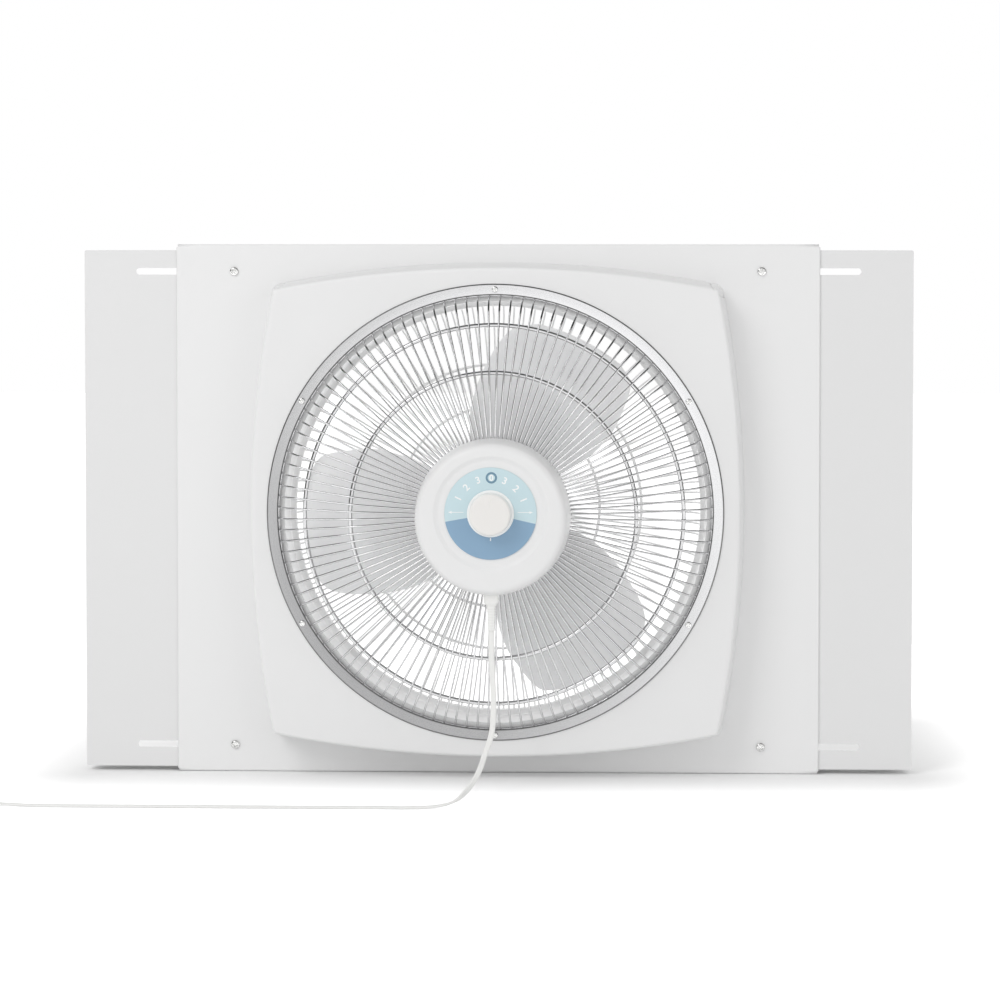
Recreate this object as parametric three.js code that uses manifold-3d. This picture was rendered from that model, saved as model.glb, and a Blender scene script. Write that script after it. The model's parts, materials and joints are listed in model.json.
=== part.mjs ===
// Window fan: a sheet centre panel with two sliding side panels, a pillow-shaped front housing, a wire guard
// on each side of a three-blade fan, and a round hub that holds the motor and the switch.
// Millimetres, +Z up. X runs across the window, the front faces -Y, and the origin is the middle of the
// underside of the bottom flange, which rests on the window sill. Inside the main group the front of the
// centre panel is the plane y = 0, so depths in front of it are negative.

import * as THREE from 'three';
import { mergeVertices } from 'three/addons/utils/BufferGeometryUtils.js';
import Module from 'manifold-3d';

const wasm = await Module();
wasm.setup();

// ---------------------------------------------------------------- driving dimensions

const seat = 0.3;                 // gap between two pieces that touch
const runningFit = 0.05;          // radial clearance of the shaft in its bushes

const panelWidth = 686;           // centre panel
const panelHeight = 565;
const sheet = 1.5;                // sheet thickness of all panels
const panelCorner = 4;
const flangeDepth = 38;
const clampSideInset = 61.9;      // clamping screws, from the centre panel's edges
const clampEdgeInset = 28.9;

const sideExposed = 99;           // what shows of a side panel at rest
const sideHidden = 103;           // what lies behind the centre panel
const sideTopStep = 6.3;          // side panel's edges below and above the centre panel's
const sideBottomStep = 5.1;
const sideFlange = 34;
const slotHeight = 7;
const slotLength = 116.6;
const slotInward = 11.1;          // how far inwards of its clamping screw a slot starts at rest
const ductClearance = 2.5;        // side panel's cut-out round the duct when pushed right in

const bulgeDepth = 46;            // front housing
const bulgeHalf = 263;            // half-width across the middle, at the panel
const bulgeSideRadius = 1206;
const bulgeCornerRadius = 11;
const bulgeDraft = 6;             // how far the sides lean in over the depth
const bulgeWall = 2.5;
const bulgeRound = 5;             // depth over which the sides turn into the face
const bulgeEdge = [{ inset: 0.8, depth: 1.5 }, { inset: 3.6, depth: 0 }];   // the turn's last two steps

const ductRadius = 222;           // inside of the round air duct
const ductWall = 2;
const ductRear = 24;
const ductLip = 5;                // inward lip that the rear guard rests on
const ductFlange = 12;            // flange clamped between the housing and the panel

const rimOuter = 240;             // bright flat ring
const rimInner = 228;
const rimThickness = 1.2;
const rimScrewRadius = 234;
const rimScrewCount = 6;

const spokeCount = 30;            // guard wires
const spokeRadius = 1.1;
const ringWireRadius = 1.5;
const rimWireRadius = 1.6;
const frontOuterRing = { radius: 197, depth: -70 };
const frontInnerRing = { radius: 148, depth: -85 };
const frontRise = { height: 6, reach: 18 };   // where the front wires bend forward out of the rim
const guardCentreRadius = 74;
const rearOuterWire = 2;
const rearOuterFit = 0.8;         // between the rear guard's outer ring and the duct
const rearOuterDepth = 17;
const rearRingDepth = 36.6;       // middle and inner ring
const rearMiddleRadius = 154;
const rearInnerRadius = 109;
const rearCentreRadius = 46;
const rearRise = { inset: 8, height: 14, reach: 45.2 };   // how the rear wires rise from the outer ring
const clipCount = 4;
const clipWidth = 14;
const clipGrip = 14;              // how far a clip reaches along the duct

const hubFace = -135;             // hub cover
const hubBackRadius = 80.6;
const hubFrontRadius = 76.5;
const hubShoulder = [                 // its front edge, inwards from the front radius and back from the face
  { inset: 5, depth: 0 }, { inset: 1.6, depth: 1.2 }, { inset: 0, depth: 4 }, { inset: -1.6, depth: 12 },
];
const hubWall = 2.5;
const hubFrontWall = 4.5;
const spokePlane = -86.5;         // depth of the guard wires at the hub
const backPlateRadius = 78.5;
const backPlateThickness = 1.5;

const dialOffset = 6.3;           // dial axis above the fan axis
const dialRecessRadius = 57;
const dialRecessDepth = 2;
const dialRadius = 46.8;
const dialThickness = 0.8;
const knobRadius = 21.6;
const knobSkirtRadius = 23.9;
const knobSkirt = 1.4;
const knobHeight = 17;
const knobEdge = 2;
const knobTaper = 0.8;
const switchShaftRadius = 3;
const switchRadius = 18;
const switchDepth = 11;
const switchGrip = 4;             // how far the shaft reaches into the switch
const knobBore = 11;
const knobPointer = { halfWidth: 0.6, depth: 0.6, inner: 8, inset: 4 };   // groove in the knob's face

const statorRadius = 45.7;        // motor
const statorBore = 24.2;
const rotorRadius = 23.6;
const bellWall = 2;
const bellFlange = 60;
const bellFront = -112;
const bellRear = -60;
const shaftRadius = 4;
const shaftFront = -107;
const shaftRear = -1;
const bushRadius = 9;
const bushLength = 9;
const boltRadius = 2;
const boltCircle = 54;
const boltHead = { radius: 3.4, height: 3 };
const bossWall = 2;               // round each bush
const bellPlate = 1.5;            // bells' flanges
const capacitorBox = { halfWidth: 15, depth: 17, inner: 50.5, outer: 70 };
const terminalBox = { halfWidth: 12, depth: 12, inner: 50.5, outer: 66 };

const bladeTip = 203;             // fan blade
const bladeHubRadius = 50;
const bladeHubWall = 2.5;
const bladeHubFront = -50;
const bladeHubRear = -8;
const bladeHubRound = 4;
const bladeHubFloor = 3;
const bladeBoss = 11;
const bladeBossSink = 2;          // boss ends this far inside the hub
const bladeThickness = 2.6;
const bladeCount = 3;
const bladeFrontDepth = -51;      // leading edge at the root
const bladeRearDepth = -5;        // trailing edge at the root
const bladeTipEase = 7;           // how much less deep both are at the tip
const bladeCamber = 6;
const bladeNutFlats = 14;
const nutLength = 7;

const cordWidth = 5.8;            // flat cord
const cordThickness = 3;
const coilTurns = 8.25;
const coilOuterRadius = 39.4;     // middle of the outermost turn
const coilPitch = 3.5;            // between turns of one layer
const layerStep = 6.25;           // between the two layers
const coilLift = 0.9;             // coil above the surface, on its tie
const coilLeadOut = 22;           // straight run from the last turn to the plug
const coilCentre = { x: -545, y: -156.6 };
const reliefExit = -122;          // depth of the cord where it leaves the hub
const reliefLength = 35;
const reliefNotch = { halfWidth: 7.6, halfDepth: 5 };                       // hole for it in the hub
const reliefCollar = { width: 1.6, depth: 1.2, inside: 11, outside: 6.6 };  // wider than its neck
const reliefShoulder = { halfWidth: 5.4, halfDepth: 3.4, drop: 9 };
const reliefTip = { halfWidth: 3.7, halfDepth: 2.3 };

const fineSteps = 48;              // facets round the large, middle and small round pieces
const middleSteps = 32;
const smallSteps = 18;

const clampScrew = { head: 5, headHeight: 2.4, shank: 2.5, reach: 9, recess: 1.4 };
const rimScrew = { head: 3.3, headHeight: 1.8, shank: 1.5, reach: 7, recess: 1 };
const nutFlats = 8;
const nutThickness = 4;

// ---------------------------------------------------------------- finishes

const finish = (color, roughness, metalness = 0) =>
  new THREE.MeshStandardMaterial({ color, roughness, metalness });
const paintedSheet = finish(0xe8e8e7, 0.5);
const sideSheet = finish(0xe2e2e1, 0.5);
const whiteMoulding = finish(0xececeb, 0.45);
const brightWire = finish(0xc9c9c9, 0.25, 1);
const whiteWire = finish(0xeeeeee, 0.4);
const brushedRim = finish(0xbdbebe, 0.35, 1);
const zincScrew = finish(0xc2c2c0, 0.3, 1);
const bladePlastic = finish(0xd6d7d8, 0.4);
const dialBlue = finish(0xc2dce4, 0.5);
const motorSteel = finish(0x9b9d9f, 0.4, 1);
const darkSteel = finish(0x5c5e61, 0.45, 1);
const bronze = finish(0xa97c48, 0.4, 1);
const blackPlastic = finish(0x2b2c2e, 0.5);
const whiteVinyl = finish(0xf0f0ee, 0.5);
const brass = finish(0xc9a85a, 0.3, 1);

// ---------------------------------------------------------------- geometry helpers

const X = new THREE.Vector3(1, 0, 0);
const Y = new THREE.Vector3(0, 1, 0);
const Z = new THREE.Vector3(0, 0, 1);
const faceOn = new THREE.Matrix4().makeBasis(X, Z, Y.clone().negate());   // drawn as seen from the front
const sideOn = new THREE.Matrix4().makeBasis(Y, Z, X);                    // drawn in depth and height

// A closed solid whose faces point outwards, from any closed geometry.
function solidOf(geometry) {
  const bare = geometry.clone();
  bare.deleteAttribute('normal');
  bare.deleteAttribute('uv');
  const merged = mergeVertices(bare, 1e-4);
  const points = merged.attributes.position.array;
  const corner = (index) => new THREE.Vector3().fromArray(points, 3 * index);
  const triangles = [];
  let volume = 0;
  for (let i = 0; i < merged.index.count; i += 3) {
    const [a, b, c] = [0, 1, 2].map((k) => merged.index.getX(i + k));
    if (a === b || b === c || c === a) continue;
    triangles.push([a, b, c]);
    volume += corner(a).dot(corner(b).cross(corner(c)));
  }
  const outward = volume > 0 ? triangles : triangles.map(([a, b, c]) => [a, c, b]);
  return new wasm.Manifold(new wasm.Mesh({
    numProp: 3,
    vertProperties: points,
    triVerts: new Uint32Array(outward.flat()),
  }));
}

function geometryOf(solid) {
  const mesh = solid.getMesh();
  const geometry = new THREE.BufferGeometry();
  geometry.setAttribute('position', new THREE.BufferAttribute(mesh.vertProperties, 3));
  geometry.setIndex(new THREE.BufferAttribute(mesh.triVerts, 1));
  geometry.computeVertexNormals();
  return geometry;
}

const join = (...parts) =>
  geometryOf(parts.slice(1).reduce((whole, part) => whole.add(solidOf(part)), solidOf(parts[0])));
const cut = (body, ...tools) =>
  geometryOf(tools.reduce((rest, tool) => rest.subtract(solidOf(tool)), solidOf(body)));

// A solid of revolution about the Y axis: the profile is a list of [radius, depth].
function turned(profile, steps) {
  const closes = profile[0][0] > 0 ? [...profile, profile[0]] : profile;
  return geometryOf(solidOf(new THREE.LatheGeometry(closes.map(([r, y]) => new THREE.Vector2(r, y)), steps)));
}
const rod = (radius, front, back, steps) =>
  turned([[0, front], [radius, front], [radius, back], [0, back]], steps);
const tube = (inner, outer, front, back, steps) =>
  turned([[inner, front], [outer, front], [outer, back], [inner, back]], steps);

// A ring of wire with four flats, one facing along the axis each way.
function wireRing(radius, depth, wire, steps) {
  return tube(radius - wire, radius + wire, depth - wire, depth + wire, steps);
}

// A plate drawn as seen from the front, from one depth back to another.
function plate(shape, front, back, curveSegments = 12) {
  const extrusion = { depth: back - front, bevelEnabled: false, curveSegments };
  return new THREE.ExtrudeGeometry(shape, extrusion).applyMatrix4(faceOn).translate(0, back, 0);
}

function box(x0, x1, y0, y1, z0, z1) {
  const geometry = new THREE.BoxGeometry(x1 - x0, y1 - y0, z1 - z0);
  return geometry.translate((x0 + x1) / 2, (y0 + y1) / 2, (z0 + z1) / 2);
}

function roundedRectangle(x0, x1, z0, z1, r) {
  const shape = new THREE.Shape();
  shape.moveTo(x0 + r, z0);
  shape.lineTo(x1 - r, z0);
  shape.absarc(x1 - r, z0 + r, r, -Math.PI / 2, 0, false);
  shape.absarc(x1 - r, z1 - r, r, 0, Math.PI / 2, false);
  shape.absarc(x0 + r, z1 - r, r, Math.PI / 2, Math.PI, false);
  shape.absarc(x0 + r, z0 + r, r, Math.PI, 1.5 * Math.PI, false);
  return shape;
}

// Skin over a stack of rings that all have the same number of points, closed by a flat cap at each end.
function loft(rings) {
  const count = rings[0].length;
  const positions = rings.flat().flatMap((point) => [point.x, point.y, point.z]);
  const index = [];
  for (let ring = 0; ring + 1 < rings.length; ring += 1) {
    for (let k = 0; k < count; k += 1) {
      const a = ring * count + k;
      const b = ring * count + ((k + 1) % count);
      index.push(a, b, b + count, a, b + count, a + count);
    }
  }
  const last = (rings.length - 1) * count;
  for (let k = 1; k + 1 < count; k += 1) {
    index.push(0, k + 1, k, last, last + k, last + k + 1);
  }
  const geometry = new THREE.BufferGeometry();
  geometry.setAttribute('position', new THREE.Float32BufferAttribute(positions, 3));
  geometry.setIndex(index);
  return geometryOf(solidOf(geometry));
}

// Clockwise angle from the top, as seen from the front.
const around = (radius, angle) => ({ x: radius * Math.sin(angle), z: radius * Math.cos(angle) });
const evenAngles = (count, first = 0) =>
  Array.from({ length: count }, (_, k) => first + (2 * Math.PI * k) / count);
const turn = (geometry, angle) => geometry.clone().rotateY(angle);

// ---------------------------------------------------------------- shared places

const ductOuter = ductRadius + ductWall;
const ductHole = ductOuter + 1.5;
const panelHalf = panelWidth / 2;
const axisHeight = panelHeight / 2;
const clampX = panelHalf - clampSideInset;
const clampHeight = (level) => axisHeight + level * (panelHeight / 2 - clampEdgeInset);

// ---------------------------------------------------------------- groups and placing

const windowFan = new THREE.Group();
windowFan.position.y = -flangeDepth / 2;
const panels = new THREE.Group();
const fan = new THREE.Group();            // everything about the fan axis
fan.position.z = axisHeight;
const dial = new THREE.Group();           // dial, knob and switch
dial.position.z = dialOffset;
fan.add(dial);
windowFan.add(panels, fan);

function add(parent, name, geometry, material, x = 0, y = 0, z = 0) {
  const mesh = new THREE.Mesh(geometry, material);
  mesh.name = name;
  mesh.position.set(x, y, z);
  parent.add(mesh);
  return mesh;
}

// ---------------------------------------------------------------- panels

const clampHole = clampScrew.shank + 0.4;
const clampPoints = [
  ['top_left', -1, 1], ['top_right', 1, 1], ['bottom_left', -1, -1], ['bottom_right', 1, -1],
].map(([name, side, level]) => ({ name, x: side * clampX, z: clampHeight(level) }));

function centrePanel() {
  const face = roundedRectangle(-panelHalf, panelHalf, 0, panelHeight, panelCorner);
  const drilled = cut(
    plate(face, 0, sheet, 3),
    rod(ductHole, -sheet, 2 * sheet, fineSteps).translate(0, 0, axisHeight),
    ...clampPoints.map(({ x, z }) => rod(clampHole, -sheet, 2 * sheet, 8).translate(x, 0, z)),
  );
  const flangeHalf = panelHalf - panelCorner;
  return join(
    drilled,
    box(-flangeHalf, flangeHalf, sheet / 2, flangeDepth, 0, sheet),
    box(-flangeHalf, flangeHalf, sheet / 2, flangeDepth, panelHeight - sheet, panelHeight),
  );
}

const slotStart = clampX - slotInward;
const slotEnd = slotStart + slotLength;
const slotTravelIn = slotEnd - (clampX + clampScrew.shank);
const sideFront = sheet + seat;
const sideBack = sideFront + sheet;

// The right-hand side panel, at rest; the left one is its mirror image.
function sidePanel(side) {
  const outer = side * (panelHalf + sideExposed);
  const inner = side * (panelHalf - sideHidden);
  const [x0, x1] = [Math.min(outer, inner), Math.max(outer, inner)];
  const z0 = sideBottomStep;
  const z1 = panelHeight - sideTopStep;
  const face = roundedRectangle(x0, x1, z0, z1, panelCorner / 2);
  const [a, b] = [side * slotStart, side * slotEnd].sort((first, second) => first - second);
  const slots = [1, -1].map((level) => {
    const z = clampHeight(level);
    const half = slotHeight / 2;
    return plate(roundedRectangle(a, b, z - half, z + half, half - 0.01), 0, flangeDepth, 3);
  });
  const cutOut = rod(ductOuter + ductClearance, 0, flangeDepth, fineSteps)
    .translate(side * slotTravelIn, 0, axisHeight);
  const flangeX0 = x0 + panelCorner;
  const flangeX1 = x1 - panelCorner;
  const sideEdge = side > 0 ? [x1 - sheet, x1] : [x0, x0 + sheet];
  return cut(
    join(
      plate(face, sideFront, sideBack, 3),
      box(flangeX0, flangeX1, sideFront + sheet / 2, sideFront + sideFlange, z0, z0 + sheet),
      box(flangeX0, flangeX1, sideFront + sheet / 2, sideFront + sideFlange, z1 - sheet, z1),
      box(...sideEdge, sideFront + sheet / 2, sideFront + sideFlange, z0 + panelCorner, z1 - panelCorner),
    ),
    cutOut,
    ...slots,
  );
}

add(panels, 'centre_panel', centrePanel(), paintedSheet);
add(panels, 'left_side_panel', sidePanel(-1), sideSheet);
add(panels, 'right_side_panel', sidePanel(1), sideSheet);

// A pan-head screw with a cross recess, its head's underside at y = 0.
function panScrew({ head, headHeight, shank, reach, recess }, steps) {
  const body = turned([
    [0, -headHeight], [head * 0.75, -headHeight], [head, 0], [shank, 0], [shank, reach], [0, reach],
  ], steps);
  const arm = head * 0.6;
  const width = head * 0.13;
  return cut(
    body,
    box(-arm, arm, -2 * headHeight, -headHeight + recess, -width, width),
    box(-width, width, -2 * headHeight, -headHeight + recess, -arm, arm),
  );
}

function hexNut(flats, bore, length) {
  return cut(rod(flats / Math.sqrt(3), 0, length, 6), rod(bore, -length, 2 * length, 12));
}

const clampScrewGeometry = panScrew(clampScrew, 10);
const clampNutGeometry = hexNut(nutFlats, clampScrew.shank + seat, nutThickness);
for (const { name, x, z } of clampPoints) {
  add(panels, `clamp_screw_${name}`, clampScrewGeometry, zincScrew, x, -seat, z);
  add(panels, `clamp_nut_${name}`, clampNutGeometry, zincScrew, x, sideBack + seat, z);
}

// ---------------------------------------------------------------- front housing

// Pillow outline, inset from the base outline: four wide arcs joined by small corner arcs.
function pillowOutline(inset) {
  const toCentre = bulgeHalf - bulgeSideRadius;
  const reach = bulgeSideRadius - bulgeCornerRadius;
  const corner = (toCentre + Math.sqrt(2 * reach ** 2 - toCentre ** 2)) / 2;
  const sideRadius = bulgeSideRadius - inset;
  const cornerRadius = bulgeCornerRadius - inset;
  const spread = Math.atan2(corner, corner - toCentre);
  const points = [];
  for (let quarter = 0; quarter < 4; quarter += 1) {
    const spin = (quarter * Math.PI) / 2;
    const place = (cx, radius, angle, cz = 0) => {
      const x = cx + radius * Math.cos(angle);
      const z = cz + radius * Math.sin(angle);
      points.push([x * Math.cos(spin) - z * Math.sin(spin), x * Math.sin(spin) + z * Math.cos(spin)]);
    };
    for (let k = 0; k <= 6; k += 1) place(toCentre, sideRadius, spread * (k / 3 - 1));
    for (let k = 1; k < 3; k += 1) {
      place(corner, cornerRadius, spread + (Math.PI / 2 - 2 * spread) * (k / 3), corner);
    }
  }
  return points;
}

const pillow = (sections) => loft(sections.map(([inset, depth]) =>
  pillowOutline(inset).map(([x, z]) => new THREE.Vector3(x, depth, z))));

const housingBack = -seat;
const housingOpening = rimInner + rimWireRadius + 2 * seat + 0.3;
const rimBack = -bulgeDepth - seat;
const rimWireDepth = rimBack + seat + rimWireRadius;
const stepDepth = rimWireDepth + rimWireRadius + seat;
const ductFlangeFront = housingBack - ductWall;

function frontHousing() {
  const lean = (depth) => (bulgeDraft * depth) / bulgeDepth;
  const outside = pillow([
    [0, housingBack], [lean(bulgeDepth - bulgeRound), -bulgeDepth + bulgeRound],
    ...bulgeEdge.map(({ inset, depth }) => [bulgeDraft + inset, -bulgeDepth + depth]),
  ]);
  const inside = pillow([
    [bulgeWall, 1], [bulgeWall + lean(bulgeDepth - bulgeRound), -bulgeDepth + bulgeRound],
    [bulgeWall + bulgeDraft + bulgeEdge[0].inset, -bulgeDepth + bulgeWall],
  ]);
  const mouthWall = turned([
    [housingOpening, -bulgeDepth + 1], [housingOpening + bulgeWall, -bulgeDepth + 1],
    [housingOpening + bulgeWall, stepDepth + bulgeWall], [ductOuter + seat, stepDepth + bulgeWall],
    [ductOuter + seat, ductFlangeFront - seat], [ductRadius, ductFlangeFront - seat],
    [ductRadius, stepDepth], [housingOpening, stepDepth],
  ], fineSteps);
  const mouth = rod(housingOpening, -2 * bulgeDepth, 0, fineSteps);
  const holes = evenAngles(rimScrewCount).map((angle) => {
    const { x, z } = around(rimScrewRadius, angle);
    return rod(rimScrew.shank + seat, -bulgeDepth - 1, stepDepth + 2 * bulgeWall, 6).translate(x, 0, z);
  });
  const shell = cut(outside, inside, mouth);
  return cut(join(shell, mouthWall), ...holes);
}

const ductLipFront = rearOuterDepth - rearOuterWire - seat - ductWall;

function airDuct() {
  const flangeReach = ductOuter + ductFlange;
  return turned([
    [ductRadius, ductFlangeFront], [flangeReach, ductFlangeFront], [flangeReach, housingBack],
    [ductOuter, housingBack], [ductOuter, ductRear], [ductRadius, ductRear],
    [ductRadius, ductLipFront + ductWall], [ductRadius - ductLip, ductLipFront + ductWall],
    [ductRadius, ductLipFront - ductLip],
  ], fineSteps);
}

function rimRing() {
  const holes = evenAngles(rimScrewCount).map((angle) => {
    const { x, z } = around(rimScrewRadius, angle);
    return rod(rimScrew.shank + seat, -2, 2 + rimThickness, 6).translate(x, 0, z);
  });
  return cut(tube(rimInner, rimOuter, 0, rimThickness, fineSteps), ...holes);
}

const rimFront = rimBack - rimThickness;
add(fan, 'front_housing', frontHousing(), whiteMoulding);
add(fan, 'air_duct', airDuct(), paintedSheet);
add(fan, 'rim_ring', rimRing(), brushedRim, 0, rimFront, 0);
const rimScrewGeometry = panScrew(rimScrew, 8);
evenAngles(rimScrewCount).forEach((angle, k) => {
  const { x, z } = around(rimScrewRadius, angle);
  add(fan, `rim_screw_${k + 1}`, rimScrewGeometry, zincScrew, x, rimFront - seat, z);
});

// ---------------------------------------------------------------- wire guards

// One radial wire in the plane x = 0, through points [radius, depth]. It has three sides, with one corner
// towards the ring wires that it crosses: facing is 1 where they lie behind it, and -1 where in front.
function spoke(path, wire, facing) {
  const rings = path.map(([r, y], k) => {
    const [r0, y0] = path[Math.max(k - 1, 0)];
    const [r1, y1] = path[Math.min(k + 1, path.length - 1)];
    const along = new THREE.Vector3(0, y1 - y0, r1 - r0).normalize();
    const across = new THREE.Vector3().crossVectors(X, along);
    return [0, 1, 2].map((corner) => {
      const angle = facing * (Math.PI / 2) + (2 * Math.PI * corner) / 3;
      return new THREE.Vector3(0, y, r)
        .addScaledVector(X, wire * Math.cos(angle))
        .addScaledVector(across, wire * Math.sin(angle));
    });
  });
  return loft(rings);
}

// Ring wires lie behind the radial wires, a seat's gap away.
const wireStep = ringWireRadius + spokeRadius + seat;
const frontSpokePath = [
  [rimInner - seat - spokeRadius, rimWireDepth + rimWireRadius / 2],
  [rimInner - seat - spokeRadius, rimBack - frontRise.height],
  [frontOuterRing.radius + frontRise.reach, frontOuterRing.depth + 2],
  [frontOuterRing.radius + 1, frontOuterRing.depth - wireStep],
  [frontInnerRing.radius, frontInnerRing.depth - wireStep],
  [guardCentreRadius - spokeRadius, spokePlane],
];
const rearOuterRadius = ductRadius - rearOuterWire - rearOuterFit;
const rearRings = [
  { name: 'rear_guard_outer_ring', radius: rearOuterRadius, depth: rearOuterDepth, wire: rearOuterWire },
  { name: 'rear_guard_middle_ring', radius: rearMiddleRadius, depth: rearRingDepth, wire: ringWireRadius },
  { name: 'rear_guard_inner_ring', radius: rearInnerRadius, depth: rearRingDepth, wire: ringWireRadius },
];
const rearFlat = rearRingDepth + ringWireRadius + spokeRadius + seat;
const rearWeld = { radius: rearOuterRadius - 1, depth: rearOuterDepth + rearOuterWire + seat + spokeRadius };
const rearSpokePath = [
  [rearWeld.radius, rearWeld.depth],
  [rearOuterRadius - rearRise.inset, rearOuterDepth + rearRise.height],
  [rearOuterRadius - rearRise.reach, rearFlat],
  [rearCentreRadius - spokeRadius, rearFlat],
];

function guard(rings, path, facing) {
  const wire = spoke(path, spokeRadius, facing);
  return join(...rings, ...evenAngles(spokeCount, Math.PI / spokeCount).map((angle) => turn(wire, angle)));
}

add(fan, 'front_guard', guard([
  wireRing(rimInner, rimWireDepth, rimWireRadius, spokeCount),
  wireRing(guardCentreRadius, spokePlane, spokeRadius, spokeCount),
], frontSpokePath, 1), brightWire);
add(fan, 'front_guard_outer_ring',
  wireRing(frontOuterRing.radius, frontOuterRing.depth, ringWireRadius, spokeCount), brightWire);
add(fan, 'front_guard_inner_ring',
  wireRing(frontInnerRing.radius, frontInnerRing.depth, ringWireRadius, spokeCount), brightWire);
add(fan, 'rear_guard', guard([
  wireRing(rearCentreRadius, rearFlat, 2 * spokeRadius, spokeCount),
  wireRing(rearWeld.radius / Math.cos(Math.PI / spokeCount), rearWeld.depth, spokeRadius, spokeCount),
], rearSpokePath, -1), whiteWire);
for (const { name, radius, depth, wire } of rearRings) {
  add(fan, name, wireRing(radius, depth, wire, spokeCount), whiteWire);
}

// Clips on the end of the duct that hold the rear guard's outer ring against the lip.
function guardClip() {
  const inner = ductOuter + seat;
  const outer = inner + ductWall;
  const hookFront = ductRear + seat;
  const hookBack = hookFront + ductWall;
  const hook = new THREE.Shape([
    [inner, ductRear - clipGrip], [outer, ductRear - clipGrip], [outer, hookBack],
    [ductRadius - ductLip, hookBack], [ductRadius - ductLip, hookFront], [inner, hookFront],
  ].map(([r, y]) => new THREE.Vector2(y, r)));
  const geometry = new THREE.ExtrudeGeometry(hook, { depth: clipWidth, bevelEnabled: false });
  return geometry.applyMatrix4(sideOn).translate(-clipWidth / 2, 0, 0);
}
evenAngles(clipCount, Math.PI / clipCount).forEach((angle, k) => {
  add(fan, `rear_guard_clip_${k + 1}`, guardClip(), whiteWire).rotation.y = angle;
});

// ---------------------------------------------------------------- hub

const coverBack = spokePlane - spokeRadius - seat;
const backPlateFront = spokePlane + spokeRadius + seat;
const backPlateBack = backPlateFront + backPlateThickness;
const coverInside = hubFace + hubFrontWall;
const shaftHoleRadius = switchShaftRadius + 1;

function hubCover() {
  const outside = turned([
    [0, hubFace], ...hubShoulder.map(({ inset, depth }) => [hubFrontRadius - inset, hubFace + depth]),
    [hubBackRadius, coverBack], [0, coverBack],
  ], middleSteps);
  const inside = turned([
    [0, coverInside], [hubFrontRadius - hubWall, coverInside],
    [hubBackRadius - hubWall, coverBack + 1], [0, coverBack + 1],
  ], middleSteps);
  const recess = rod(dialRecessRadius, 2 * hubFace, hubFace + dialRecessDepth, middleSteps)
    .translate(0, 0, dialOffset);
  const shaftHole = rod(shaftHoleRadius, 2 * hubFace, 0, 8).translate(0, 0, dialOffset);
  const { halfWidth, halfDepth } = reliefNotch;
  const notch = box(-halfWidth, halfWidth, reliefExit - halfDepth, reliefExit + halfDepth, -100, -60);
  return cut(outside, inside, recess, shaftHole, notch);
}

function hubBackPlate() {
  const boltHoles = [Math.PI / 2, -Math.PI / 2].map((angle) => {
    const { x, z } = around(boltCircle, angle);
    return rod(boltRadius + seat, 2 * backPlateFront, 0, 8).translate(x, 0, z);
  });
  const ring = tube(statorRadius + 2 * seat, backPlateRadius, backPlateFront, backPlateBack, middleSteps);
  return cut(ring, ...boltHoles);
}

add(fan, 'hub_cover', hubCover(), whiteMoulding);
add(fan, 'hub_back_plate', hubBackPlate(), motorSteel);

const dialBack = hubFace + dialRecessDepth - seat;
const dialFront = dialBack - dialThickness;
const knobBack = dialFront - seat;
const knobFront = knobBack - knobHeight;
const switchFront = coverInside + seat;

function knob() {
  const gripFront = knobRadius - knobTaper;
  const body = turned([
    [0, knobFront], [gripFront - knobEdge, knobFront], [gripFront, knobFront + knobEdge],
    [knobRadius, knobBack - knobSkirt], [knobSkirtRadius, knobBack - knobSkirt], [knobSkirtRadius, knobBack],
    [0, knobBack],
  ], middleSteps);
  const { halfWidth, depth, inner, inset } = knobPointer;
  const pointer = box(-halfWidth, halfWidth, 2 * knobFront, knobFront + depth, inner, knobRadius - inset);
  return cut(body, rod(switchShaftRadius + runningFit, knobBack - knobBore, 0, 12), pointer);
}

const switchShaftRear = switchFront + 2 * seat + switchGrip;
add(dial, 'dial_plate', tube(shaftHoleRadius, dialRadius, dialFront, dialBack, middleSteps), dialBlue);
add(dial, 'knob', knob(), whiteMoulding);
add(dial, 'switch_shaft',
  rod(switchShaftRadius, switchShaftRear, knobBack - knobBore + 1, 12), brass);
add(dial, 'rotary_switch', cut(
  rod(switchRadius, switchFront, switchFront + switchDepth, smallSteps),
  rod(switchShaftRadius + 4 * runningFit, 2 * switchFront, switchFront + switchGrip + 1, 12),
), blackPlastic);

// ---------------------------------------------------------------- motor

// A bell: a cup with a rim flange, a wall with a hole for the shaft, and a boss round its bush.
function bell(end, flangeFace, flangeBack) {
  const inward = Math.sign(flangeFace - end);
  const inside = statorRadius + 2 * seat;
  const wall = inside + bellWall;
  const floor = end + inward * bellWall;
  const socket = bushRadius + seat;
  const boss = floor + inward * (bushLength - 2);
  const profile = [
    [shaftRadius + 1, end], [wall, end], [wall, flangeFace], [bellFlange, flangeFace],
    [bellFlange, flangeBack], [inside, flangeBack], [inside, floor], [socket + bossWall, floor],
    [socket + bossWall, boss], [socket, boss], [socket, floor], [shaftRadius + 1, floor],
  ];
  const holes = [Math.PI / 2, -Math.PI / 2].map((angle) => {
    const { x, z } = around(boltCircle, angle);
    return rod(boltRadius + seat, 2 * end, 0, 8).translate(x, 0, z);
  });
  return cut(turned(profile, smallSteps), ...holes);
}

const frontFlange = backPlateFront - seat;
const rearFlange = backPlateBack + seat;
add(fan, 'front_end_bell', bell(bellFront, frontFlange - bellPlate, frontFlange), motorSteel);
add(fan, 'rear_end_bell', bell(bellRear, rearFlange + bellPlate, rearFlange), motorSteel);

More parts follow.
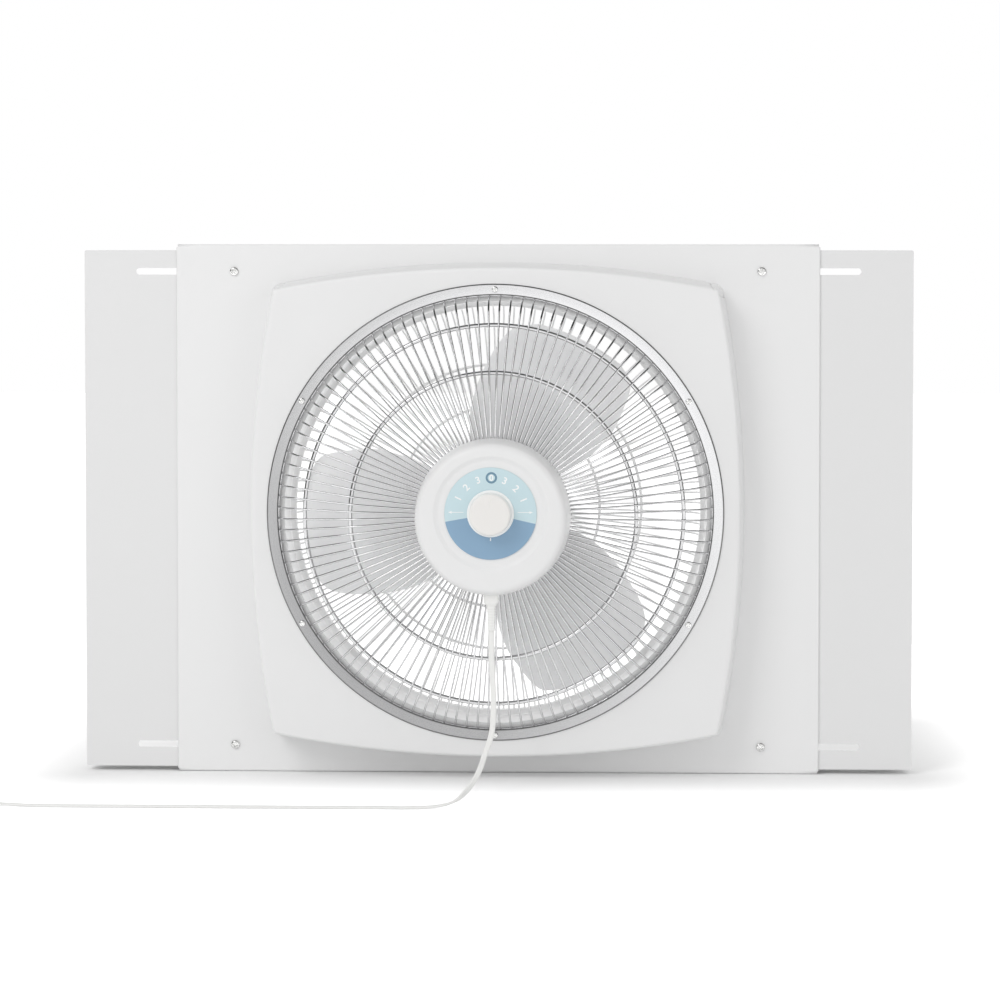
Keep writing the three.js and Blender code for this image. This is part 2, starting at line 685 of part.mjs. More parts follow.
const statorFront = bellFront + bellWall + bushLength + 2;
const statorBack = bellRear - bellWall - bushLength - 2;
add(fan, 'stator', tube(statorBore, statorRadius, statorFront, statorBack, smallSteps), darkSteel);
add(fan, 'rotor',
  tube(shaftRadius + seat, rotorRadius, statorFront + 1, statorBack - 1, smallSteps), darkSteel);
add(fan, 'motor_shaft', rod(shaftRadius, shaftFront, shaftRear, 16), motorSteel);
const bush = (front) => tube(shaftRadius + 4 * runningFit, bushRadius, front, front + bushLength, 16);
add(fan, 'front_bush', bush(bellFront + bellWall + seat), bronze);
add(fan, 'rear_bush', bush(bellRear - bellWall - seat - bushLength), bronze);

const boltReach = rearFlange + bellPlate - (frontFlange - bellPlate) + 2 * seat;
const boltGeometry = turned([
  [0, -boltHead.height], [boltHead.radius, -boltHead.height], [boltHead.radius, 0], [boltRadius, 0],
  [boltRadius, boltReach], [boltHead.radius, boltReach], [boltHead.radius, boltReach + boltHead.height],
  [0, boltReach + boltHead.height],
], 8);
[['left', -Math.PI / 2], ['right', Math.PI / 2]].forEach(([name, angle]) => {
  const { x, z } = around(boltCircle, angle);
  add(fan, `motor_bolt_${name}`, boltGeometry, zincScrew, x, frontFlange - bellPlate - seat, z);
});

// Run capacitor and terminal block, both on the front bell's flange.
const onFlange = frontFlange - bellPlate - seat;
const standing = ({ halfWidth, depth, inner, outer }) =>
  box(-halfWidth, halfWidth, onFlange - depth, onFlange, inner, outer);
add(fan, 'run_capacitor', standing(capacitorBox), blackPlastic).rotation.y = -Math.PI / 5;
add(fan, 'terminal_block', standing(terminalBox), whiteMoulding).rotation.y = Math.PI / 5;

// ---------------------------------------------------------------- fan blade

// Edges of one blade as [share of the way from root to tip, clockwise angle in degrees], seen from the front.
const bladeRoot = bladeHubRadius - 4;
const bladeEdge = (points) => new THREE.CatmullRomCurve3(points.map(([share, angle]) =>
  new THREE.Vector3(bladeRoot + (bladeTip - bladeRoot) * share, angle, 0)));
const leadingEdge = bladeEdge([
  [0, -21], [0.23, -18], [0.38, -14.4], [0.57, -8], [0.73, -2.5], [0.89, 3], [0.955, 6.5], [1, 13],
]);
const trailingEdge = bladeEdge([
  [0, 62], [0.23, 61.5], [0.43, 60], [0.65, 56], [0.8, 51.5], [0.92, 48], [0.97, 45.5], [1, 40],
]);

function fanBlade() {
  const rows = 6;
  const columns = 6;
  const surface = [];
  for (let i = 0; i <= rows; i += 1) {
    const lead = leadingEdge.getPoint(i / rows);
    const trail = trailingEdge.getPoint(i / rows);
    for (let j = 0; j <= columns; j += 1) {
      const across = j / columns;
      const radius = lead.x + (trail.x - lead.x) * across;
      const angle = THREE.MathUtils.degToRad(lead.y + (trail.y - lead.y) * across);
      const outward = i / rows;
      const front = bladeFrontDepth + bladeTipEase * outward;
      const rear = bladeRearDepth - bladeTipEase * outward;
      const camber = bladeCamber * Math.sin(Math.PI * across);
      const depth = front + (rear - front) * across - camber;
      const { x, z } = around(radius, angle);
      surface.push(new THREE.Vector3(x, depth, z));
    }
  }
  const width = columns + 1;
  const half = bladeThickness / 2;
  const positions = [-half, half].flatMap((shift) => surface.flatMap(({ x, y, z }) => [x, y + shift, z]));
  const index = [];
  const back = surface.length;
  for (let i = 0; i < rows; i += 1) {
    for (let j = 0; j < columns; j += 1) {
      const a = i * width + j;
      const [b, c, d] = [a + 1, a + width + 1, a + width];
      index.push(a, c, b, a, d, c, back + a, back + b, back + c, back + a, back + c, back + d);
    }
  }
  const edge = (a, b) => index.push(a, b, back + b, a, back + b, back + a);
  for (let j = 0; j < columns; j += 1) {
    edge(j, j + 1);
    edge(rows * width + j + 1, rows * width + j);
  }
  for (let i = 0; i < rows; i += 1) {
    edge((i + 1) * width, i * width);
    edge(i * width + columns, (i + 1) * width + columns);
  }
  const geometry = new THREE.BufferGeometry();
  geometry.setAttribute('position', new THREE.Float32BufferAttribute(positions, 3));
  geometry.setIndex(index);
  return geometry;
}

const bladeBossRear = bladeHubRear - bladeBossSink;

function bladeSet() {
  const hubInside = bladeHubRadius - bladeHubWall;
  const floor = bladeHubFront + bladeHubFloor;
  const hub = turned([
    [shaftRadius + seat, bladeHubFront], [bladeHubRadius - bladeHubRound, bladeHubFront],
    [bladeHubRadius, bladeHubFront + bladeHubRound], [bladeHubRadius, bladeHubRear],
    [hubInside, bladeHubRear], [hubInside, floor], [bladeBoss, floor], [bladeBoss, bladeBossRear],
    [shaftRadius + seat, bladeBossRear],
  ], smallSteps);
  const bore = rod(hubInside, 2 * bladeHubFront, -2 * bladeHubFront, smallSteps);
  const blades = evenAngles(bladeCount).map((angle) => turn(cut(fanBlade(), bore), angle));
  return join(hub, ...blades);
}
add(fan, 'fan_blade', bladeSet(), bladePlastic);
add(fan, 'blade_nut',
  hexNut(bladeNutFlats, shaftRadius + seat, nutLength), zincScrew, 0, bladeBossRear + seat, 0);

// ---------------------------------------------------------------- cord

const reliefRoot = -hubFrontRadius - 2.6;
const reliefEnd = reliefRoot - reliefLength;

function rectangleRing(halfWidth, halfDepth, z) {
  const chamfer = 0.35 * halfDepth;
  return [
    [halfWidth, halfDepth - chamfer], [halfWidth - chamfer, halfDepth], [chamfer - halfWidth, halfDepth],
    [-halfWidth, halfDepth - chamfer], [-halfWidth, chamfer - halfDepth], [chamfer - halfWidth, -halfDepth],
    [halfWidth - chamfer, -halfDepth], [halfWidth, chamfer - halfDepth],
  ].map(([x, y]) => new THREE.Vector3(x, reliefExit + y, z));
}

function strainRelief() {
  const neck = [reliefNotch.halfWidth - seat, reliefNotch.halfDepth - seat];
  const collar = [neck[0] + reliefCollar.width, neck[1] + reliefCollar.depth];
  return join(
    loft([rectangleRing(...collar, reliefRoot + reliefCollar.inside),
      rectangleRing(...collar, reliefRoot + reliefCollar.outside)]),
    loft([rectangleRing(...neck, reliefRoot + reliefCollar.outside + 1.4),
      rectangleRing(...neck, reliefRoot - 1)]),
    loft([rectangleRing(neck[0] - 0.2, neck[1] - 0.4, reliefRoot - 0.5),
      rectangleRing(reliefShoulder.halfWidth, reliefShoulder.halfDepth, reliefRoot - reliefShoulder.drop),
      rectangleRing(reliefTip.halfWidth, reliefTip.halfDepth, reliefEnd)]),
  );
}
add(fan, 'strain_relief', strainRelief(), whiteVinyl);

// Flat oval section, its broad side along the section's first axis.
function cordSection(sides) {
  return new THREE.Shape(Array.from({ length: sides }, (_, k) => {
    const angle = (2 * Math.PI * (k + 0.5)) / sides;
    return new THREE.Vector2((cordWidth / 2) * Math.cos(angle), (cordThickness / 2) * Math.sin(angle));
  }));
}

// Frames for a flat cord: broad(u) gives the direction of the broad side along the path.
function flatFrames(path, steps, broad) {
  const tangents = [];
  const normals = [];
  const binormals = [];
  for (let k = 0; k <= steps; k += 1) {
    const tangent = path.getTangentAt(k / steps).normalize();
    const normal = broad(k / steps).addScaledVector(tangent, -broad(k / steps).dot(tangent)).normalize();
    tangents.push(tangent);
    normals.push(normal);
    binormals.push(new THREE.Vector3().crossVectors(tangent, normal));
  }
  return { tangents, normals, binormals };
}

// From the strain relief down in front of the grille, forward on to the surface and left along it to the
// coil. The cord comes down face on, turns to lie flat, and turns on edge just before the coil.
const lying = cordThickness / 2;
const coilLow = coilLift + cordWidth / 2;
const coilStartX = coilCentre.x + cordWidth;
const cordY = coilCentre.y - coilOuterRadius;
const cordRoute = [
  [0, reliefExit, axisHeight + reliefEnd - seat], [0.3, -122.2, 150], [1.6, -123.2, 120], [2.6, -125, 92],
  [0.8, -128, 64], [-5.5, -136, 44.5], [-10.9, -147, 29.1], [-21.6, -167, 13.8], [-34.2, -184, 5.4],
  [-50, -192.5, 2.6], [-76, cordY, lying + 0.1], [-110, cordY, lying], [-160, cordY, lying],
  [-220, cordY, lying], [-290, cordY, lying], [-360, cordY, lying], [-420, cordY, lying], [-455, cordY, 1.8],
  [-480, cordY, 2.8], [-505, cordY, 3.5], [coilStartX + 8, cordY, coilLow],
  [coilStartX + seat, cordY, coilLow],
];

class CordPath extends THREE.CatmullRomCurve3 {
  computeFrenetFrames(steps) {
    const broad = (u) => {
      const face = X.clone().lerp(Y, THREE.MathUtils.smoothstep(u, 0.1, 0.38));
      return face.lerp(Z, THREE.MathUtils.smoothstep(u, 0.91, 0.98));
    };
    return flatFrames(this, steps, broad);
  }
}

// Two layers: the turns spiral in along the surface, rise a layer in the half turn where the spiral
// reverses, and spiral out again. A straight run leads in and another out to the plug.
class CoilPath extends THREE.Curve {
  constructor() {
    super();
    this.arcLengthDivisions = 4000;
  }

  getPoint(t, target = new THREE.Vector3()) {
    const oneTurn = 2 * Math.PI * coilOuterRadius;
    const leadIn = cordWidth / oneTurn;
    const turns = t * (coilTurns + leadIn + coilLeadOut / oneTurn) - leadIn;
    const wound = THREE.MathUtils.clamp(turns, 0, coilTurns);
    const angle = -Math.PI / 2 - 2 * Math.PI * wound;
    const radius = coilOuterRadius - coilPitch * Math.min(wound, coilTurns - wound);
    const rise = THREE.MathUtils.clamp(2 * (wound - coilTurns / 2) + 0.5, 0, 1);
    const straight = (turns - wound) * oneTurn;
    return target.set(
      coilCentre.x + radius * Math.cos(angle) + straight * Math.sin(angle),
      coilCentre.y + radius * Math.sin(angle) - straight * Math.cos(angle),
      coilLow + layerStep * rise,
    );
  }

  computeFrenetFrames(steps) {
    return flatFrames(this, steps, () => Z.clone());
  }
}

const coilSteps = Math.round(coilTurns * 18);
const coilSides = 6;
const coilPath = new CoilPath();

// The least gap between two turns, measured between the section's corners and reported in millimetres.
function leastCoilGap() {
  const centres = coilPath.getSpacedPoints(8 * coilSteps);
  const frames = coilPath.computeFrenetFrames(8 * coilSteps);
  const section = cordSection(coilSides).getPoints();
  const rings = centres.map((centre, k) => section.map(({ x, y }) =>
    centre.clone().addScaledVector(frames.normals[k], x).addScaledVector(frames.binormals[k], y)));
  const apart = Math.floor(0.6 * 8 * (coilSteps / coilTurns));
  let least = Infinity;
  for (let a = 0; a < rings.length; a += 2) {
    for (let b = a + apart; b < rings.length; b += 1) {
      if (centres[a].distanceTo(centres[b]) > 2 * cordWidth) continue;
      for (const p of rings[a]) for (const q of rings[b]) least = Math.min(least, p.distanceTo(q));
    }
  }
  return least;
}

function flatCord(path, steps, sides) {
  const extrusion = { steps, extrudePath: path, bevelEnabled: false };
  return geometryOf(solidOf(new THREE.ExtrudeGeometry(cordSection(sides), extrusion)));
}

const routePath = new CordPath(cordRoute.map((point) => new THREE.Vector3(...point)), false, 'centripetal');
add(windowFan, 'power_cord', flatCord(routePath, 46, 8), whiteVinyl);
add(windowFan, 'cord_coil', flatCord(coilPath, coilSteps, coilSides), whiteVinyl);
console.log(`least gap between turns of the coil: ${leastCoilGap().toFixed(2)} mm`);

// A flat tie round the coil's turns, opposite the plug.
const bundle = { inner: coilOuterRadius - (coilPitch * coilTurns) / 2 - cordThickness / 2 - seat,
  outer: coilOuterRadius + cordThickness / 2 + seat, top: coilLow + layerStep + cordWidth / 2 + seat };
const tieThickness = coilLift - seat;
function cordTie() {
  const frame = (grow) => new THREE.Shape([
    [bundle.inner - grow, coilLift - seat - grow], [bundle.outer + grow, coilLift - seat - grow],
    [bundle.outer + grow, bundle.top + grow], [bundle.inner - grow, bundle.top + grow],
  ].map(([r, z]) => new THREE.Vector2(r, z)));
  const shape = frame(tieThickness);
  shape.holes.push(new THREE.Path(frame(0).getPoints()));
  const geometry = new THREE.ExtrudeGeometry(shape, { depth: cordWidth, bevelEnabled: false });
  return geometry.applyMatrix4(faceOn).translate(0, cordWidth / 2, 0);
}
add(windowFan, 'cord_tie', cordTie(), blackPlastic, coilCentre.x, coilCentre.y, 0);

// Two-pin plug beside the coil, in line with the cord's end.
const plugAxis = { x: coilCentre.x - coilOuterRadius, z: coilLow + layerStep };
const plugBack = coilCentre.y + coilLeadOut + seat;
const plug = { neck: 10, body: 26, halfWidth: 12, halfHeight: 9.6 };
const prong = { halfGap: 6.35, halfThickness: 0.75, halfHeight: 3.15, length: 16 };
const bodyBack = plugBack + plug.neck;
const plugFace = bodyBack + plug.body;

function plugRing(halfWidth, halfHeight, y) {
  const c = 0.3 * halfHeight;
  return [
    [halfWidth, halfHeight - c], [halfWidth - c, halfHeight], [c - halfWidth, halfHeight],
    [-halfWidth, halfHeight - c], [-halfWidth, c - halfHeight], [c - halfWidth, -halfHeight],
    [halfWidth - c, -halfHeight], [halfWidth, c - halfHeight],
  ].map(([x, z]) => new THREE.Vector3(x, y, z));
}
add(windowFan, 'plug_body', loft([
  plugRing(3, 4, plugBack), plugRing(4, 5, bodyBack),
  plugRing(plug.halfWidth - 2, plug.halfHeight - 1, bodyBack + 6),
  plugRing(plug.halfWidth, plug.halfHeight, bodyBack + 14),
  plugRing(plug.halfWidth, plug.halfHeight, plugFace),
]), whiteVinyl, plugAxis.x, 0, plugAxis.z);
const prongGeometry = box(-prong.halfThickness, prong.halfThickness, plugFace + seat,
  plugFace + seat + prong.length, -prong.halfHeight, prong.halfHeight);
[['left', -1], ['right', 1]].forEach(([name, side]) => {
  const x = plugAxis.x + side * prong.halfGap;
  add(windowFan, `plug_prong_${name}`, prongGeometry, brass, x, 0, plugAxis.z);
});

export default windowFan;
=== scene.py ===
"""Window fan: the finishes and fine surfaces of a fan in a sheet panel, with its cord, floor, lamps and camera.

Metres, +Z up. X runs across the window and the front faces -Y. Surfaces are worked out as arrays of points, a
function of two parameters on a grid, and every piece rides on the body that carries it.
"""
import json
import math

import bmesh
import bpy
import numpy as np
from bpy.props import FloatProperty, FloatVectorProperty, IntProperty, PointerProperty
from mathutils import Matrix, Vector


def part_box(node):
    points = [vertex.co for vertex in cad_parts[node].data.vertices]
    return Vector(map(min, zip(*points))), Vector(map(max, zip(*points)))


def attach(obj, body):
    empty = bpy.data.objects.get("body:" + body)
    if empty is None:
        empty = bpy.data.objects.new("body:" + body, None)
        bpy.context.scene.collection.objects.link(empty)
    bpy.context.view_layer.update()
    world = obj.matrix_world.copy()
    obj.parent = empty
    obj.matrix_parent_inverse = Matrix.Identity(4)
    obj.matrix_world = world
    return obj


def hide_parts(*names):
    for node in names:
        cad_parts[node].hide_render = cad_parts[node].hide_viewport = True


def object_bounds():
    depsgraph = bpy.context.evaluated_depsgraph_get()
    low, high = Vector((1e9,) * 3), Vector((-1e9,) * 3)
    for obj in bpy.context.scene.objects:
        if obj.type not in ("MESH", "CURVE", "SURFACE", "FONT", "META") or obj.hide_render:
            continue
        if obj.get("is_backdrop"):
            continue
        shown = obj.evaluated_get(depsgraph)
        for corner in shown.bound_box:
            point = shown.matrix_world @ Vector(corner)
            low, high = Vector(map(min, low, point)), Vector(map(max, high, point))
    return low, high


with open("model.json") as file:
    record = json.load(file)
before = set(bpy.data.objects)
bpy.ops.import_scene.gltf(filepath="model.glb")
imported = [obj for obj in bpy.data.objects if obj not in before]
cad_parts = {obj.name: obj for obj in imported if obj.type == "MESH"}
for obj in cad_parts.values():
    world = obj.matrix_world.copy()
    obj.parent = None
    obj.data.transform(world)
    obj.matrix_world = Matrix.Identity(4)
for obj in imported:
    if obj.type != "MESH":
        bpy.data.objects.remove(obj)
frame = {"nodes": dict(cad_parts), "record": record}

bl_info = {
    "name": "Window Fan",
    "version": (1, 0, 0),
    "blender": (4, 5, 0),
    "location": "3D View > Sidebar > Window Fan",
    "description": "Adds the finishes and fine surfaces of a window fan round its construction model",
    "category": "Add Mesh",
}

MM = 0.001
HALF_TURN = math.pi
FULL_TURN = 2 * math.pi


def linear(red, green, blue):
    """Shader values of a colour that shows on a screen as red, green and blue of 255."""
    share = np.array([red, green, blue]) / 255
    return tuple(np.where(share <= 0.04045, share / 12.92, ((share + 0.055) / 1.055) ** 2.4).tolist())


# ---------------------------------------------------------------- places from the frame

def low(node):
    """Lowest corner of a node of the construction model."""
    return np.array(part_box(node)[0])


def high(node):
    """Highest corner of a node of the construction model."""
    return np.array(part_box(node)[1])


PANEL_FRONT = low("centre_panel")[1]
AXIS_Z = float((low("rim_ring")[2] + high("rim_ring")[2]) / 2)
DIAL_LIFT = float((low("dial_plate")[2] + high("dial_plate")[2]) / 2) - AXIS_Z
RIM_INNER, RIM_OUTER = 228 * MM, float(high("rim_ring")[0])
RIM_FRONT, RIM_BACK = float(low("rim_ring")[1]), float(high("rim_ring")[1])
HUB_FACE, HUB_BACK = float(low("hub_cover")[1]), float(high("hub_cover")[1])
HUB_RADIUS = float(high("hub_cover")[0])
HUB_WALL = 2.5 * MM
DIAL_RADIUS = float(high("dial_plate")[0])
DIAL_FACE, DIAL_BACK = float(low("dial_plate")[1]), float(high("dial_plate")[1])
KNOB_FACE, KNOB_BACK = float(low("knob")[1]), float(high("knob")[1])
KNOB_SKIRT_RADIUS = float(high("knob")[0])
BULGE_FACE, BULGE_BACK = float(low("front_housing")[1]), float(high("front_housing")[1])
BULGE_HALF = float(high("front_housing")[0])


def depth(millimetres):
    """Place along Y of a depth that is given from the front of the centre panel, forwards negative."""
    return PANEL_FRONT + millimetres * MM


# ---------------------------------------------------------------- settings

def length(name, description, millimetres):
    """A length setting whose default is given in millimetres."""
    return FloatProperty(name=name, description=description, default=millimetres * MM, unit="LENGTH")


def power(name, description, watts):
    """A setting of a lamp's power."""
    return FloatProperty(name=name, description=description, default=watts, unit="POWER")


def colour(name, description, red, green, blue):
    """A colour setting whose default is given as it shows on a screen."""
    return FloatVectorProperty(
        name=name, description=description, subtype="COLOR", size=3, min=0, max=1,
        default=linear(red, green, blue))


class FanSizes(bpy.types.PropertyGroup):
    """Sizes of the fine surfaces that the construction model leaves plain"""

    wire_count: IntProperty(name="Guard wires", description="Radial wires in each guard", default=120, min=12)
    front_wire: length("Front wire", "Radius of a radial wire of the front guard", 1.0)
    rear_wire: length("Rear wire", "Radius of a radial wire of the rear guard", 0.95)
    ring_wire: length("Ring wire", "Radius of the ring wires of the front guard", 2.2)
    sheet: length("Sheet", "Thickness of the centre panel's sheet", 1.5)
    bend: length("Bend", "Outside radius of the sheet's bends", 2.6)
    blade_thickness: length("Blade", "Thickness of a blade", 2.6)
    numeral: length("Numerals", "Height of the dial's numerals", 6.9)


class CordSizes(bpy.types.PropertyGroup):
    """Sizes of the flat cord and of the coil that its spare length is wound into"""

    width: length("Width", "Broad side of the cord", 5.8)
    thickness: length("Thickness", "Narrow side", 3.0)
    turns: FloatProperty(name="Turns", description="Turns of the coil, in two layers", default=8.25)
    coil_radius: length("Coil", "Middle of the outermost turn", 39.4)
    pitch: length("Pitch", "Between turns of a layer", 3.5)
    layer: length("Layer", "Between the two layers", 6.25)
    lead_out: length("Lead out", "Straight run from the coil to the plug", 22)


class FanColours(bpy.types.PropertyGroup):
    """Colours of the finishes"""

    sheet: colour("Centre panel", "Powder coat of the centre panel", 238, 238, 238)
    side_sheet: colour("Side panels", "Powder coat of the side panels", 231, 231, 231)
    moulding: colour("Mouldings", "Housing, hub and knob", 238, 238, 238)
    duct: colour("Duct", "Thin wall round the blade", 252, 252, 252)
    knob: colour("Knob", "Knob, a little warmer than the hub", 240, 238, 235)
    wire: colour("Bright wire", "Plated wire of the front guard", 200, 200, 201)
    coated: colour("Coated wire", "White wire of the rear guard", 250, 250, 250)
    ring: colour("Rim ring", "Brushed ring round the front guard", 190, 190, 191)
    screw: colour("Screws", "Zinc plate", 226, 226, 225)
    blade: colour("Blade", "Translucent grey plastic", 243, 243, 244)
    dial_light: colour("Dial, light", "Upper part of the dial", 204, 226, 232)
    dial_dark: colour("Dial, dark", "Lower part of the dial", 139, 171, 198)
    dial_mark: colour("Dial mark", "Ring round the zero", 112, 146, 166)
    ink: colour("Ink", "Numerals and marks on the dial", 250, 252, 252)
    vinyl: colour("Vinyl", "Cord, plug and strain relief", 243, 243, 241)
    steel: colour("Steel", "Motor covers and shaft", 156, 158, 160)
    laminations: colour("Laminations", "Stator and rotor", 92, 94, 97)
    bronze: colour("Bronze", "Bearing bushes", 169, 124, 72)
    brass: colour("Brass", "Plug blades and switch shaft", 201, 168, 90)
    black: colour("Black plastic", "Switch, capacitor and cord tie", 44, 45, 47)


class StageLooks(bpy.types.PropertyGroup):
    """Floor, lamps and camera"""

    floor: colour("Floor", "Floor and backdrop", 250, 250, 250)
    key: power("Key lamp", "Power of the large soft lamp", 31)
    fill: power("Fill lamp", "Power of the lamp on the right", 7.8)
    sky: FloatProperty(name="Surroundings", description="Brightness all round", default=0.66)
    flags: FloatProperty(name="Flags", description="What mirrors see at the sides", default=0.04)
    back: power("Back lamp", "Power of the lamp behind the fan", 4.5)
    lens: FloatProperty(name="Lens", description="Focal length for a 36 mm sensor", default=88.17)


# ---------------------------------------------------------------- surfaces

def angles(count):
    """Evenly spaced angles of a full turn, clockwise from the top as seen from the front."""
    return np.linspace(0, FULL_TURN, count, endpoint=False)


def radial(radius, angle, y, lift=0.0):
    """Points at a radius and a clockwise angle about the fan axis, which lift raises."""
    radius, angle, y = np.broadcast_arrays(radius, angle, y)
    return np.stack([radius * np.sin(angle), y, AXIS_Z + lift + radius * np.cos(angle)], axis=-1)


def revolve(profile, steps=192):
    """Surface of revolution about the fan axis: row i is the circle of radius profile[i, 0] at the depth
    profile[i, 1], its centre raised by profile[i, 2] where there is a third column."""
    profile = np.asarray(profile, float)
    lift = profile[:, 2:3] if profile.shape[1] > 2 else 0.0
    return radial(profile[:, :1], angles(steps)[None, :], profile[:, 1:2], lift)


def eased(corners, easings, closed=False, steps=5):
    """A polyline whose corners are eased: each corner is replaced by the parabola that starts and ends at its
    easing's distance along the two sides, and a corner with no easing stays sharp."""
    corners = np.asarray(corners, float)
    points = []
    last = len(corners) - 1
    for index, (corner, easing) in enumerate(zip(corners, easings)):
        if easing == 0 or (not closed and index in (0, last)):
            points.append(corner[None])
            continue
        before = corners[index - 1] - corner
        after = corners[(index + 1) % len(corners)] - corner
        start = corner + before * min(1, easing / np.linalg.norm(before))
        end = corner + after * min(1, easing / np.linalg.norm(after))
        t = np.linspace(0, 1, steps)[:, None]
        points.append((1 - t) ** 2 * start + 2 * t * (1 - t) * corner + t ** 2 * end)
    return np.vstack(points)


def smooth_path(points, spacing):
    """Evenly spaced points on the centripetal Catmull-Rom curve through the given ones: in each span a cubic
    whose slopes at both ends are the differences to the neighbours, weighed by square roots of distances."""
    p = np.asarray(points, float)
    p = np.vstack([2 * p[0] - p[1], p, 2 * p[-1] - p[-2]])
    gap = np.sqrt(np.linalg.norm(np.diff(p, axis=0), axis=1))[:, None]
    a, b, c = gap[:-2], gap[1:-1], gap[2:]
    p0, p1, p2, p3 = p[:-3], p[1:-2], p[2:-1], p[3:]
    out_slope = b * ((p1 - p0) / a - (p2 - p0) / (a + b) + (p2 - p1) / b)
    in_slope = b * ((p2 - p1) / b - (p3 - p1) / (b + c) + (p3 - p2) / c)
    t = np.linspace(0, 1, 60, endpoint=False)[None, :, None]
    span = (
        (2 * t ** 3 - 3 * t ** 2 + 1) * p1[:, None] + (t ** 3 - 2 * t ** 2 + t) * out_slope[:, None]
        + (3 * t ** 2 - 2 * t ** 3) * p2[:, None] + (t ** 3 - t ** 2) * in_slope[:, None]
    )
    return evenly(np.vstack([span.reshape(-1, p.shape[1]), p[-2]]), spacing)


def evenly(points, spacing):
    """The same polyline with its points an equal distance apart along it."""
    along = np.concatenate([[0], np.cumsum(np.linalg.norm(np.diff(points, axis=0), axis=1))])
    places = np.linspace(0, along[-1], max(2, round(along[-1] / spacing)) + 1)
    return np.stack([np.interp(places, along, column) for column in points.T], axis=1)


def sweep(path, broad, section):
    """Tube along a path: at each point the section, a closed list of [broad, narrow] offsets, stands square to
    the path, its first axis as near as can be to that point's broad direction. The ends close to a point."""
    path = np.asarray(path, float)
    tangent = np.gradient(path, axis=0)
    tangent /= np.linalg.norm(tangent, axis=1, keepdims=True)
    first = broad - tangent * np.sum(broad * tangent, axis=1, keepdims=True)
    first /= np.linalg.norm(first, axis=1, keepdims=True)
    second = np.cross(tangent, first)
    section = np.broadcast_to(section, (len(path), *np.shape(section)[-2:]))
    tube = path[:, None] + first[:, None] * section[..., :1] + second[:, None] * section[..., 1:]
    ends = np.repeat(path[[0, -1], None], tube.shape[1], axis=1)
    return np.concatenate([ends[:1], tube, ends[1:]])


def rounded_rectangle(half_width, half_height, corner, steps=6):
    """Closed outline of a rectangle with round corners, anticlockwise from the middle of its right side."""
    sweep_angle = np.linspace(0, HALF_TURN / 2, steps)
    x, z = half_width - corner, half_height - corner
    quarters = [
        np.stack([cx + corner * np.cos(sweep_angle + k * HALF_TURN / 2),
                  cz + corner * np.sin(sweep_angle + k * HALF_TURN / 2)], axis=1)
        for k, (cx, cz) in enumerate([(x, z), (-x, z), (-x, -z), (x, -z)])
    ]
    return np.vstack(quarters)


# ---------------------------------------------------------------- pieces

def grid_faces(rows, columns, wrap_rows, wrap_columns, first):
    """Quads between neighbouring points of a grid whose points are numbered from first, row by row."""
    row = np.arange(rows if wrap_rows else rows - 1)[:, None]
    column = np.arange(columns if wrap_columns else columns - 1)[None, :]
    below, right = (row + 1) % rows, (column + 1) % columns
    corners = [row * columns + column, row * columns + right, below * columns + right, below * columns + column]
    return first + np.stack(np.broadcast_arrays(*corners), axis=-1).reshape(-1, 4)


def clean(mesh, facing=None):
    """Merges doubles and turns the faces outwards, or the largest one, and the rest with it, towards facing."""
    work = bmesh.new()
    work.from_mesh(mesh)
    bmesh.ops.remove_doubles(work, verts=work.verts, dist=0.002 * MM)
    bmesh.ops.recalc_face_normals(work, faces=work.faces)
    if facing is not None:
        largest = max(work.faces, key=lambda face: face.calc_area())
        if largest.normal.dot(Vector(facing)) < 0:
            bmesh.ops.reverse_faces(work, faces=work.faces)
    work.to_mesh(mesh)
    work.free()


def piece(name, grids, finish=None, body="housing", slot=None, stands_for=(), sharp=40, facing=None):
    """One object of one or more grids, each (points, wrap_rows, wrap_columns). Points of several like grids can
    be stacked along a leading axis. Doubles are merged, which closes poles, and faces are turned outwards, or
    towards facing on a sheet that is open."""
    vertices, faces, count = [], [], 0
    for points, wrap_rows, wrap_columns in grids:
        for grid in points.reshape(-1, *points.shape[-3:]):
            faces.append(grid_faces(*grid.shape[:2], wrap_rows, wrap_columns, count))
            vertices.append(grid.reshape(-1, 3))
            count += len(vertices[-1])
    mesh = bpy.data.meshes.new(name)
    mesh.from_pydata(np.vstack(vertices), [], np.vstack(faces).tolist())
    clean(mesh, facing)
    mesh.shade_smooth()
    mesh.set_sharp_from_angle(angle=math.radians(sharp))
    return placed(bpy.data.objects.new(name, mesh), finish, body, slot, stands_for)


def placed(thing, finish, body, slot, stands_for=()):
    """Links a piece, gives it a finish, else the slot's, and lets it ride on its body."""
    if thing.name not in bpy.context.scene.collection.all_objects:
        bpy.context.scene.collection.objects.link(thing)
    thing.data.materials.clear()
    thing.data.materials.append(finish or FINISHES[slot])
    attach(thing, body)
    if stands_for:
        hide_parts(*stands_for)
    return thing


# ---------------------------------------------------------------- finishes

class Nodes:
    """A node tree, with a short call that adds a node and joins its inputs."""

    def __init__(self, tree):
        self.tree = tree

    def set(self, node, inputs):
        """Joins each input to the output that is given, or sets it to the value."""
        for socket, value in inputs.items():
            if isinstance(value, bpy.types.NodeSocket):
                self.tree.links.new(value, node.inputs[socket])
            else:
                node.inputs[socket].default_value = value

    def add(self, kind, inputs=None, **settings):
        """A new node of that kind, with its settings made and its inputs joined."""
        node = self.tree.nodes.new(f"ShaderNode{kind}")
        for key, value in settings.items():
            setattr(node, key, value)
        self.set(node, inputs or {})
        return node

    def math(self, operation, first, second=0.0):
        """Result of a sum on one or two numbers."""
        return self.add("Math", {0: first, 1: second}, operation=operation).outputs[0]


